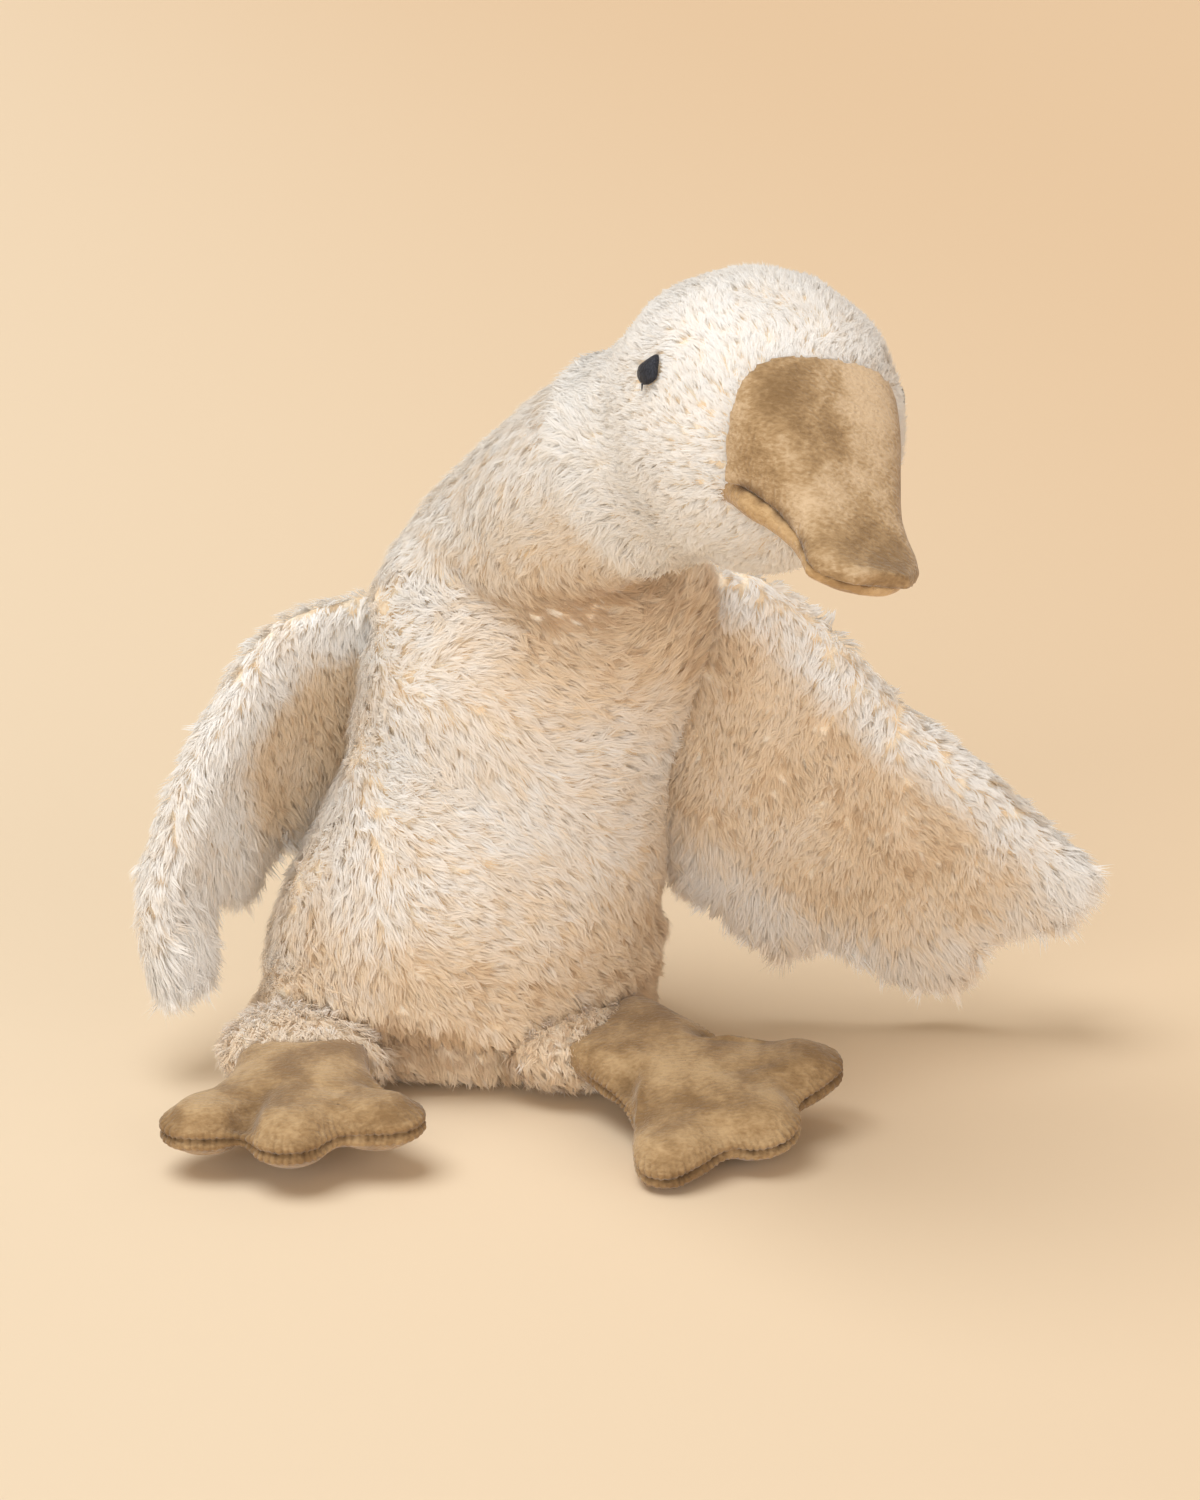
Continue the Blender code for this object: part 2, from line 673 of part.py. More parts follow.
def make_right_wing(material, cutters):
    """Hanging down beside the goose's right, its leading edge swung forward."""
    root = wing_root(-1)
    leads = root + np.array(RIGHT_WING_LEADING_ROWS) * (RIGHT_WING_SPAN, RIGHT_WING_SWING, RIGHT_WING_DROP)
    trails = root + np.array(RIGHT_WING_TRAILING_ROWS) * (RIGHT_WING_SPAN, RIGHT_WING_SWING, RIGHT_WING_ROOT_CHORD)
    shell = wing_shell(leads, trails, (1.0, -1.0, 0.0), RIGHT_WING_CAMBER)
    wing = make_object("right_wing", [shell], material)
    for cutter in cutters:
        cut(wing, cutter)
    return wing


def leg_centre(side, spread, advance):
    """The middle of a leg stub, at the seat's front edge or ahead of it."""
    front = SEAT_DEPTH / 2 * math.sqrt(1.0 - (spread / (SEAT_WIDTH / 2)) ** 2)
    return np.array((side * spread, -front - advance, LEG_FLOOR_CLEARANCE + LEG_HEIGHT / 2))


def make_leg(name, middle, yaw, material, cutters):
    ahead = np.array((math.sin(yaw), -math.cos(yaw), 0.0))
    across = np.array((math.cos(yaw), math.sin(yaw), 0.0))
    frame = (across, ahead, np.array((0.0, 0.0, 1.0)))
    half_sizes = (LEG_WIDTH / 2, LEG_LENGTH / 2, LEG_HEIGHT / 2)
    shell = egg(middle, frame, half_sizes, rows=7, count=SMALL_RING_POINTS)
    leg = make_object(name, [shell], material)
    cutter = grown_copy(leg, name + "_cutter")
    for other in cutters:
        cut(leg, other)
    return leg, cutter


def foot_outline(heel):
    """The pad's edge as seen from above: ankle, flare, two outer toes and a longer middle toe."""
    ankle = np.array(ANKLE_ROWS) * (FOOT_ANKLE_WIDTH / 2, FOOT_LENGTH)
    ankle[:2, 1] -= heel
    outer_toe = (FOOT_WIDTH / 2, 0.0) + np.array(OUTER_TOE_ROWS) * (FOOT_TOE_RADIUS, FOOT_LENGTH)
    middle_toe = np.array(MIDDLE_TOE_ROWS) * (FOOT_TOE_RADIUS, FOOT_LENGTH)
    side = np.vstack((ankle, outer_toe, middle_toe))
    mirrored = side[1:-1][::-1] * (-1.0, 1.0)
    loop = np.vstack((side, mirrored, side[:1]))
    steps = np.concatenate(((0.0,), np.cumsum(np.linalg.norm(np.diff(loop, axis=0), axis=1))))
    at = np.linspace(0.0, steps[-1], FOOT_OUTLINE_POINTS, endpoint=False)
    return through(steps, loop, at)


def toe_swell(across, ahead):
    """1 on the crest of a toe and 0 in the grooves of the web, fading out towards the ankle."""
    crest = np.abs(np.cos(np.pi * across / FOOT_TOE_SPACING))
    reach = ease((ahead / FOOT_LENGTH - FOOT_WEB_START) / FOOT_WEB_EASING)
    return 1.0 - reach * (1.0 - crest**0.7)


def foot_shell(heel):
    """A pillow on the outline, in its own frame: across, ahead and up, with the seam at height 0."""
    outline = foot_outline(heel)
    middle = np.array((0.0, FOOT_MIDDLE * FOOT_LENGTH))
    rings = []
    shares = np.sin(np.linspace(0.0, 0.5 * np.pi, FOOT_RINGS + 1))[1:]
    for up, order in ((-1, shares), (1, shares[-2::-1])):
        for share in order:
            flat = middle + (outline - middle) * share
            swell = toe_swell(flat[:, 0], flat[:, 1])
            crown = (1.0 - share**3) ** 0.5
            half = 0.5 * FOOT_THICKNESS - FOOT_WEB_GROOVE * (1.0 - swell)
            rings.append(np.column_stack((flat, up * crown * half)))
    points, faces = loft(rings)
    points[-2:, 2] = (-0.5 * FOOT_THICKNESS, 0.5 * FOOT_THICKNESS)
    return points, faces


def make_foot(name, leg_middle, turns, lift, advance, heel, material, cutters):
    """The pad turned, nodded and rolled into place, its lowest point kept off the floor."""
    yaw, pitch, roll = turns
    points, faces = foot_shell(heel)
    level_ahead = np.array((math.sin(yaw), -math.cos(yaw), 0.0))
    level_across = np.array((math.cos(yaw), math.sin(yaw), 0.0))
    upward = np.array((0.0, 0.0, 1.0))
    ahead = level_ahead * math.cos(pitch) + upward * math.sin(pitch)
    tilted_up = np.cross(level_across, ahead) * -1.0
    across = level_across * math.cos(roll) + tilted_up * math.sin(roll)
    up = tilted_up * math.cos(roll) - level_across * math.sin(roll)
    ankle = np.array((leg_middle[0], leg_middle[1], lift + 0.5 * FOOT_THICKNESS)) + level_ahead * advance
    placed = ankle + points[:, :1] * across + points[:, 1:2] * ahead + points[:, 2:] * up
    placed[:, 2] += max(FOOT_CLEARANCE - placed[:, 2].min(), 0.0)
    foot = make_object(name, [(placed, faces)], material)
    for cutter in cutters:
        cut(foot, cutter)
    return foot


def build():
    clear_scene()
    plush = fabric("cream plush", PLUSH_COLOUR, 0.9)
    velour = fabric("tan velour", BILL_COLOUR, 0.85)
    pale_velour = fabric("pale tan velour", LOWER_BILL_COLOUR, 0.85)
    foot_velour = fabric("brown velour", FOOT_COLOUR, 0.85)
    thread = fabric("black thread", EYE_COLOUR, 0.35)

    body = make_body(plush)
    body_cutter = grown_copy(body, "body_cutter")
    make_upper_bill(velour, [body_cutter])
    make_lower_bill(pale_velour, [body_cutter])
    make_eye("right_eye", -1, thread, [body_cutter])
    make_eye("left_eye", 1, thread, [body_cutter])
    make_right_wing(plush, [body_cutter])
    make_left_wing(plush, [body_cutter])

    right_middle = leg_centre(-1, RIGHT_LEG_SPREAD, RIGHT_LEG_ADVANCE)
    left_middle = leg_centre(1, LEFT_LEG_SPREAD, LEFT_LEG_ADVANCE)
    _, right_cutter = make_leg("right_leg", right_middle, RIGHT_FOOT_YAW, plush, [body_cutter])
    _, left_cutter = make_leg("left_leg", left_middle, LEFT_FOOT_YAW, plush, [body_cutter])
    make_foot(
        "right_foot", right_middle, (RIGHT_FOOT_YAW, RIGHT_FOOT_PITCH, RIGHT_FOOT_ROLL),
        RIGHT_FOOT_LIFT, RIGHT_FOOT_ADVANCE, RIGHT_FOOT_HEEL, foot_velour, [right_cutter, body_cutter])
    make_foot(
        "left_foot", left_middle, (LEFT_FOOT_YAW, LEFT_FOOT_PITCH, LEFT_FOOT_ROLL),
        LEFT_FOOT_LIFT, LEFT_FOOT_ADVANCE, LEFT_FOOT_HEEL, foot_velour, [left_cutter, body_cutter])


build()
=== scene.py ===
# %% [markdown]
# # A plush goose
# The real toy is a bag of cream long-pile plush, stuffed softly, with a bill and feet of
# short velour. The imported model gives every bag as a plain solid. Here each solid gets its
# cloth: a skin close under the solid's surface, and on it the pile itself, lock by lock.
# Metres throughout, +Z up, the goose looks along -Y and its own left is +X.

import math

import bmesh
import bpy
import numpy as np
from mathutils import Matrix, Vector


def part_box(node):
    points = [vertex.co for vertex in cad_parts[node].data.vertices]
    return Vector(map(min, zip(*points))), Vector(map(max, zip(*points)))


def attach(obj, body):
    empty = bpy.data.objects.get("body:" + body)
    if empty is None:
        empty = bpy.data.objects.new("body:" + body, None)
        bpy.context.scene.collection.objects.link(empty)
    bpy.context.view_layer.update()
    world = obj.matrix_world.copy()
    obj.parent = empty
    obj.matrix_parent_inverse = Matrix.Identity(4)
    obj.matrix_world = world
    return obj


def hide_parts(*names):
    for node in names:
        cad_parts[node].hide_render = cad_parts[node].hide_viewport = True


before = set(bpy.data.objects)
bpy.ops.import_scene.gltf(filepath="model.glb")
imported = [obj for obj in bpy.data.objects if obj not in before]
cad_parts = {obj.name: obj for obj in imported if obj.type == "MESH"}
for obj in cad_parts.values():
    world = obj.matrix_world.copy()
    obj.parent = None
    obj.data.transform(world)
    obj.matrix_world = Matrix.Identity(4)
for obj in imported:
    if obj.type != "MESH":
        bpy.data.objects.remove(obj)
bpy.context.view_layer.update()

# %% [markdown]
# ## Camera
# The photograph looks down at the goose by 20 degrees from 1.3 m away. A long lens keeps the
# perspective as flat as it is there.

# %% Camera
AIM = np.array((0.0495, 0.0, 0.105))
DISTANCE = 1.300
LOOK_DOWN = math.radians(20.0)
SENSOR_HEIGHT, LENS = 36.0, 94.5  # in millimetres, as Blender takes them
camera_data = bpy.data.cameras.new("photo_camera")
camera_data.sensor_fit = "VERTICAL"
camera_data.sensor_height = SENSOR_HEIGHT
camera_data.lens = LENS
camera = bpy.data.objects.new("photo_camera", camera_data)
bpy.context.scene.collection.objects.link(camera)
camera.location = AIM + DISTANCE * np.array((0.0, -math.cos(LOOK_DOWN), math.sin(LOOK_DOWN)))
camera.rotation_euler = (math.radians(90.0) - LOOK_DOWN, 0.0, 0.0)
bpy.context.scene.camera = camera
print("camera at", tuple(round(v, 4) for v in camera.location))

# %% [markdown]
# ## Writing materials as sums
# A material is a formula over the surface. This small class holds one value of it, so that
# `a * b + 1` adds the Math nodes by itself. Any other node comes from its `node` method.


# %% A value in a material
class Wire:
    """One value in a material's formula: a socket that sums, differences and products can use."""

    def __init__(self, tree, socket=None):
        self.tree = tree
        self.socket = socket

    def node(self, kind, settings=None, inputs=None, out=0):
        """Adds a node, sets it up, feeds its sockets, and gives its output back."""
        made = self.tree.nodes.new(kind)
        for name, value in (settings or {}).items():
            if name == "stops":
                ramp = made.color_ramp
                while len(ramp.elements) < len(value):
                    ramp.elements.new(0.5)
                for element, (place, colour) in zip(ramp.elements, value):
                    element.position = place
                    element.color = (*colour, 1.0)
            else:
                setattr(made, name, value)
        for name, value in (inputs or {}).items():
            if isinstance(value, Wire):
                self.tree.links.new(value.socket, made.inputs[name])
            else:
                made.inputs[name].default_value = value
        return Wire(self.tree, made.outputs[out])

    def maths(self, operation, first, second=0.0):
        """A Math node on two values."""
        return self.node("ShaderNodeMath", {"operation": operation}, {0: first, 1: second})

    def __add__(self, other):
        return self.maths("ADD", self, other)

    def __radd__(self, other):
        return self.maths("ADD", other, self)

    def __sub__(self, other):
        return self.maths("SUBTRACT", self, other)

    def __rsub__(self, other):
        return self.maths("SUBTRACT", other, self)

    def __mul__(self, other):
        return self.maths("MULTIPLY", self, other)

    def __rmul__(self, other):
        return self.maths("MULTIPLY", other, self)

    def step(self, low, high):
        """0 below low, 1 above high, and smooth between."""
        return self.node(
            "ShaderNodeMapRange",
            {"interpolation_type": "SMOOTHSTEP"},
            {0: self, 1: low, 2: high, 3: 0.0, 4: 1.0})

    def blend(self, first, second):
        """The colour first where this value is 0, and second where it is 1."""
        ends = [c if isinstance(c, Wire) else (*c, 1.0) for c in (first, second)]
        sockets = {0: self, 6: ends[0], 7: ends[1]}
        return self.node("ShaderNodeMix", {"data_type": "RGBA"}, sockets, out=2)

    def noise(self, scale, detail=3.0, stretch=(1.0, 1.0, 1.0)):
        """Cloudy values over the object's own coordinates, scale patches to the metre."""
        where = self.node("ShaderNodeTexCoord", out="Object")
        mapped = self.node("ShaderNodeMapping", inputs={"Vector": where, "Scale": stretch})
        sockets = {"Vector": mapped, "Scale": scale, "Detail": detail}
        return self.node("ShaderNodeTexNoise", inputs=sockets)


# %% A cloth finish
SHEEN_ROUGHNESS = 0.45
THROUGH_TINT = (1.0, 0.985, 0.965, 1.0)


def material(name, colour_of, roughness, sheen=0.0, bump_of=None, specular=0.3, see_through=0.0):
    """A cloth finish. colour_of and bump_of build the linked formulas; the rest are plain numbers.

    see_through is the share of light that fibre lets pass to its other side.
    """
    made = bpy.data.materials.new(name)
    made.use_nodes = True
    tree = made.node_tree
    shader = tree.nodes["Principled BSDF"]
    start = Wire(tree)
    shader.inputs["Roughness"].default_value = roughness
    shader.inputs["Specular IOR Level"].default_value = specular
    shader.inputs["Sheen Weight"].default_value = sheen
    shader.inputs["Sheen Roughness"].default_value = SHEEN_ROUGHNESS
    colour = colour_of(start)
    tree.links.new(colour.socket, shader.inputs["Base Color"])
    if see_through:
        through_light = tree.nodes.new("ShaderNodeBsdfTranslucent")
        through_light.inputs["Color"].default_value = THROUGH_TINT
        mix = tree.nodes.new("ShaderNodeMixShader")
        mix.inputs[0].default_value = see_through
        tree.links.new(shader.outputs[0], mix.inputs[1])
        tree.links.new(through_light.outputs[0], mix.inputs[2])
        tree.links.new(mix.outputs[0], tree.nodes["Material Output"].inputs["Surface"])
    if bump_of is not None:
        height, distance = bump_of(start)
        bump = start.node(
            "ShaderNodeBump", inputs={"Height": height, "Distance": distance, "Strength": 1.0})
        tree.links.new(bump.socket, shader.inputs["Normal"])
    return made


# %% [markdown]
# ## Reading and making meshes
# Surfaces are handled as whole arrays: points, triangles and one outward direction a point.
# The cloth of each bag is its solid's surface, cut again into even squares, so that folds and
# pile have points to sit on everywhere.


# %% Mesh arrays
ABOVE_FLOOR = 0.0003
SAME_PLACE = 0.00001


def numbers(collection, field, kind, width):
    """One field of a whole collection, as an array with width numbers in a row."""
    found = np.empty(len(collection) * width, dtype=kind)
    collection.foreach_get(field, found)
    return found.reshape(-1, width) if width > 1 else found


def surface(item):
    """Points, outward directions and triangles of an object's mesh."""
    mesh = item.data
    mesh.calc_loop_triangles()
    points = numbers(mesh.vertices, "co", np.float32, 3).astype(float)
    outward = numbers(mesh.vertex_normals, "vector", np.float32, 3).astype(float)
    triangles = numbers(mesh.loop_triangles, "vertices", np.int32, 3)
    return points, outward, triangles


def moved(item, points):
    """Puts new places into an object's mesh, none of them under the floor, and gives them back."""
    points = points.copy()
    points[:, 2] = np.maximum(points[:, 2], ABOVE_FLOOR)
    item.data.vertices.foreach_set("co", points.astype(np.float32).ravel())
    item.data.update()
    return points


def new_piece(name, points, faces, finish, flat_map=None, outward=None):
    """A smooth mesh object from whole arrays.

    flat_map gives each point its place on the fabric, and outward the way it faces.
    """
    faces = np.asarray(faces, dtype=np.int32)
    corners = faces.shape[1]
    mesh = bpy.data.meshes.new(name)
    mesh.vertices.add(len(points))
    mesh.vertices.foreach_set("co", np.asarray(points, dtype=np.float32).ravel())
    mesh.loops.add(faces.size)
    mesh.loops.foreach_set("vertex_index", faces.ravel())
    mesh.polygons.add(len(faces))
    mesh.polygons.foreach_set("loop_start", np.arange(0, faces.size, corners, dtype=np.int32))
    if flat_map is not None:
        layer = mesh.uv_layers.new(name="OFBake")
        flat_map = np.asarray(flat_map, dtype=np.float32)
        layer.uv.foreach_set("vector", flat_map[faces.ravel()].ravel())
    mesh.update(calc_edges=True)
    mesh.shade_smooth()
    if outward is not None:
        mesh.normals_split_custom_set_from_vertices(outward)
    mesh.materials.append(finish)
    item = bpy.data.objects.new(name, mesh)
    bpy.context.scene.collection.objects.link(item)
    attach(item, "root")
    return item


def applied(item):
    """Works the modifiers into the mesh."""
    bpy.context.view_layer.update()
    graph = bpy.context.evaluated_depsgraph_get()
    mesh = bpy.data.meshes.new_from_object(item.evaluated_get(graph), depsgraph=graph)
    item.modifiers.clear()
    item.data = mesh


def weld(mesh):
    """Joins the points of a mesh that lie in one place."""
    work = bmesh.new()
    work.from_mesh(mesh)
    bmesh.ops.remove_doubles(work, verts=work.verts, dist=SAME_PLACE)
    work.to_mesh(mesh)
    work.free()


# %% Cloth from a solid
def skin_of(name, node, voxel, rounds, finish, inset=0.0):
    """An even, closed copy of a solid's surface, for its cloth.

    It is cut from cubes of voxel metres, smoothed in so many rounds, and drawn in by inset
    along its outward directions.
    """
    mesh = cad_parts[node].data.copy()
    mesh.name = name
    weld(mesh)
    mesh.materials.clear()
    mesh.materials.append(finish)
    item = bpy.data.objects.new(name, mesh)
    bpy.context.scene.collection.objects.link(item)
    remesh = item.modifiers.new("even mesh", "REMESH")
    remesh.mode = "VOXEL"
    remesh.voxel_size = voxel
    remesh.use_smooth_shade = True
    smooth = item.modifiers.new("soften", "SMOOTH")
    smooth.iterations = rounds
    applied(item)
    points, outward, _ = surface(item)
    moved(item, points - inset * outward)
    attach(item, "root")
    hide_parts(node)
    print(name, len(item.data.polygons), "faces")
    return item


# %% [markdown]
# ## Small tools for soft shapes
# `ease` is a smooth step. `waves` is a cloudy value made of a few sine waves in seeded
# directions, so it is the same on every run, and `swirl` makes a wandering direction of three
# of them. `through` is a smooth curve through values.


# %% Smooth steps, clouds and curves
def ease(value, low=0.0, high=1.0):
    """0 below low, 1 above high, and 3 t^2 - 2 t^3 of the share t between."""
    t = np.clip((np.asarray(value, float) - low) / (high - low), 0.0, 1.0)
    return t * t * (3.0 - 2.0 * t)


WAVE_PEAK = 1.2


def waves(points, size, seed, count=9):
    """Sum of sine waves about size metres long in seeded directions, scaled to about -1 to 1."""
    rng = np.random.default_rng(seed)
    ways = rng.normal(size=(count, 3))
    turns = (2.0 * np.pi / size) * rng.uniform(0.6, 1.5, (count, 1))
    ways *= turns / np.linalg.norm(ways, axis=1, keepdims=True)
    heights = np.sin(points @ ways.T + rng.uniform(0.0, 2.0 * np.pi, count)).sum(axis=1)
    return heights / math.sqrt(count) / WAVE_PEAK


def swirl(points, size, seed):
    """A direction that wanders over the places: three clouds, one for each of its numbers."""
    return np.stack([waves(points, size, seed + axis) for axis in range(3)], axis=1)


def through(stations, values, at):
    """A smooth curve through values at rising stations: cubic pieces with averaged slopes."""
    stations = np.asarray(stations, float)
    values = np.asarray(values, float)
    slopes = np.gradient(values, stations, axis=0)
    at = np.clip(np.atleast_1d(np.asarray(at, float)), stations[0], stations[-1])
    left = np.clip(np.searchsorted(stations, at, side="right") - 1, 0, len(stations) - 2)
    width = stations[left + 1] - stations[left]
    t = (at - stations[left]) / width
    if values.ndim == 2:
        t, width = t[:, None], width[:, None]
    return (
        values[left] * (2 * t**3 - 3 * t**2 + 1) + slopes[left] * width * (t**3 - 2 * t**2 + t)
        + values[left + 1] * (3 * t**2 - 2 * t**3) + slopes[left + 1] * width * (t**3 - t**2))


def units(vectors):
    """The same directions, each 1 long."""
    return vectors / np.maximum(np.linalg.norm(vectors, axis=-1, keepdims=True), 1e-9)


def near(points, path):
    """Distance to a path of points, and the nearest of them."""
    gaps = np.linalg.norm(points[:, None, :] - path[None, :, :], axis=2)
    nearest = gaps.argmin(axis=1)
    return gaps[np.arange(len(points)), nearest], path[nearest]


# %% [markdown]
# ## Where things are
# The head's own directions, its middle, and the two edges of each wing, as the solids have
# them. An edge is given as shares of the wing's span, sweep and drop from its root.

# %% Places on the goose
HEAD = np.array((0.0955, -0.075, 0.238))
HEAD_YAW, HEAD_PITCH, HEAD_ROLL = (math.radians(v) for v in (21.5, -17.0, 12.8))
head_forward = np.array((
    math.sin(HEAD_YAW) * math.cos(HEAD_PITCH),
    -math.cos(HEAD_YAW) * math.cos(HEAD_PITCH),
    math.sin(HEAD_PITCH)))
level_left = np.array((math.cos(HEAD_YAW), math.sin(HEAD_YAW), 0.0))
level_up = np.cross(head_forward, level_left)
head_left = level_left * math.cos(HEAD_ROLL) - level_up * math.sin(HEAD_ROLL)
head_up = np.cross(head_forward, head_left)
SIDES = ("right", "left")
EYES = {side: np.array(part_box(side + "_eye")[0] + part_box(side + "_eye")[1]) / 2 for side in SIDES}
RIM_AHEAD, RIM_ABOVE = 0.931, 0.365
SHARES = np.linspace(0.0, 1.0, 6)
FINE = np.linspace(0.0, 1.0, 60)


def towards_bill(place):
    """How far each place is from the middle of the head, the way that the rim of the bill faces."""
    from_head = place - HEAD
    return RIM_AHEAD * (from_head @ head_forward) + RIM_ABOVE * (from_head @ head_up)


def wing_edge(root, scale, shares):
    """Points along an edge of a wing, from its root to its tip."""
    return root + through(SHARES, np.array(shares) * scale, FINE)


LEFT_WING_ROOT = np.array((0.0696, 0.0125, 0.158))
RIGHT_WING_ROOT = np.array((-0.0036, 0.0125, 0.158))
left_lead = wing_edge(LEFT_WING_ROOT, (0.145, 1.0, 0.104), (
    (0.00, 0.000, 0.03), (0.20, 0.000, 0.06), (0.38, -0.001, -0.12),
    (0.54, -0.002, -0.36), (0.78, -0.003, -0.65), (1.01, -0.003, -0.96)))
left_trail = wing_edge(LEFT_WING_ROOT, (0.145, 1.0, 0.098), (
    (-0.02, 0.004, -0.96), (0.20, 0.002, -1.24), (0.48, 0.000, -1.44),
    (0.70, -0.002, -1.42), (0.87, -0.003, -1.26), (0.98, -0.003, -1.12)))
right_lead = wing_edge(RIGHT_WING_ROOT, (0.097, 0.042, 0.124), (
    (-0.21, 0.12, -0.02), (-0.55, -0.12, -0.09), (-0.77, -0.45, -0.32),
    (-0.92, -0.71, -0.56), (-1.01, -0.90, -0.81), (-0.96, -1.00, -1.02)))
right_trail = wing_edge(RIGHT_WING_ROOT, (0.097, 0.042, 0.086), (
    (-0.26, 0.50, -1.00), (-0.41, 0.36, -1.10), (-0.57, 0.12, -1.16),
    (-0.69, -0.21, -1.21), (-0.76, -0.64, -1.35), (-0.86, -0.95, -1.50)))
print("head at", HEAD, "eyes at", EYES["right"].round(4), EYES["left"].round(4))

# %% [markdown]
# ## The pile
# Long plush is thousands of fine hairs that cling together in small pointed locks. A lock is
# a handful of strands whose roots fill a small disc and whose tips draw together, bent over
# along the nap. Each strand is a thin blade of two triangles: a root, two points at the bend,
# and a tip. Light goes through fibre as thin as this, so the finish lets part of it pass. The
# strand's place on the map is its tone across and its length up, so one formula colours the
# whole coat, darker at the roots and pale at the tips.

# %% Colours of the pile
# Painted shade: the darker, warmer roots stand for the warm shade deep in the pile. The low tones,
# from TIP_DEEP to TIP_WARM, carry the painted shade that the body's, wings' and legs' tones put in
# folds, hollows and undersides.
ROOT_DARK = (0.76, 0.51, 0.28)
ROOT_PALE = (0.99, 0.935, 0.855)
TIP_DEEP = (0.60, 0.40, 0.23)
TIP_WARM = (0.90, 0.71, 0.49)
TIP_WHITE = (0.998, 0.998, 0.998)


def pile_colour(start):
    """From the root's colour to the tip's, both chosen by the strand's tone."""
    where = start.node("ShaderNodeUVMap", {"uv_map": "OFBake"})
    tone = start.node("ShaderNodeSeparateXYZ", inputs={0: where}, out=0)
    along = start.node("ShaderNodeSeparateXYZ", inputs={0: where}, out=1)
    root = tone.blend(ROOT_DARK, ROOT_PALE)
    stops = ((0.0, TIP_DEEP), (0.26, TIP_WARM), (1.0, TIP_WHITE))
    tip = start.node("ShaderNodeValToRGB", {"stops": stops}, {0: tone})
    return along.step(0.0, 0.55).blend(root, tip)


pile = material(
    "cream_pile", pile_colour, roughness=0.45, sheen=0.45, specular=0.55, see_through=0.46)
# The backing's tan is partly its own colour and partly painted shade: it shows only in the gaps
# between locks.
backing = material(
    "plush_backing",
    lambda start: start.noise(220.0).step(0.35, 0.65).blend((0.93, 0.74, 0.52), (0.98, 0.88, 0.73)),
    roughness=0.9,
    bump_of=lambda start: (start.noise(900.0), 0.0006))


# %% Locks of pile
def scatter(points, outward, triangles, count, weight, seed):
    """Even random places on a surface, and the way it faces there.

    Area times weight chooses the triangle, and a random mix of its corners the place.
    """
    corner = points[triangles]
    sides = np.cross(corner[:, 1] - corner[:, 0], corner[:, 2] - corner[:, 0])
    area = 0.5 * np.linalg.norm(sides, axis=1)
    running = np.cumsum(area * np.maximum(weight(corner.mean(axis=1)), 0.0))
    rng = np.random.default_rng(seed)
    drawn = (np.arange(count) + rng.uniform(0.0, 1.0, count)) / count * running[-1]
    chosen = np.minimum(np.searchsorted(running, drawn), len(triangles) - 1)
    root = np.sqrt(rng.uniform(0.0, 1.0, (count, 1)))
    mix = rng.uniform(0.0, 1.0, (count, 1))
    shares = np.stack((1.0 - root, root * (1.0 - mix), root * mix), axis=1)
    normal = units((outward[triangles[chosen]] * shares).sum(axis=1))
    return (corner[chosen] * shares).sum(axis=1), normal


# %% [markdown]
# A strand rises from its root, bends over along the nap, and ends at its tip. The values say
# how far along the lock's length the bend and the tip are, how much of the spread of the roots
# is left there, and how much one strand differs from the next. A blade alone would catch the
# light like a chip of glass, so it takes most of the way it faces from the skin under it.

# %% Shape of a lock
LOCK = 12
BEND_ALONG, TIP_ALONG = 0.46, 0.94
BEND_SPREAD, TIP_SPREAD, BEND_RISE = 0.85, 0.42, 0.85
ROOT_DEPTH = 0.0005
LOWEST_HAIR = 0.0004
LONG_RANGE, RISE_RANGE, TIP_RANGE, WIDTH_RANGE = (0.78, 1.12), (0.65, 1.25), (0.8, 1.3), (0.7, 1.3)
LOCK_CURL, STRAND_CURL, BEND_CURL = 0.16, 0.07, 0.25
STRAND_TURN, LOCK_TURN, LOCK_NOD = 0.16, 0.14, 0.10
TONE_RANGE = 0.05
MAP_ACROSS = np.array((0.0, -0.012, 0.012, 0.0))
MAP_UP = np.array((0.02, 0.45, 0.45, 0.98))
BLADE = np.array(((0, 1, 2), (3, 2, 1)))


def blade_facing(high, crown, flat, along, across, axis, rng):
    """The way a blade's four points face: mostly as the skin does, a little as the blade does."""
    count, strands, _ = axis.shape
    facing = 1.2 * high + 0.4 * crown + rng.normal(0.0, STRAND_TURN, (count, strands, 1)) * flat
    facing = facing + rng.normal(0.0, LOCK_TURN, (count, 1, 1)) * across
    facing = facing + rng.normal(0.0, LOCK_NOD, (count, 1, 1)) * along
    corners = (facing, facing + 0.3 * flat, facing - 0.3 * flat, facing + 0.2 * axis)
    return units(np.stack(corners, axis=2)).reshape(-1, 3)


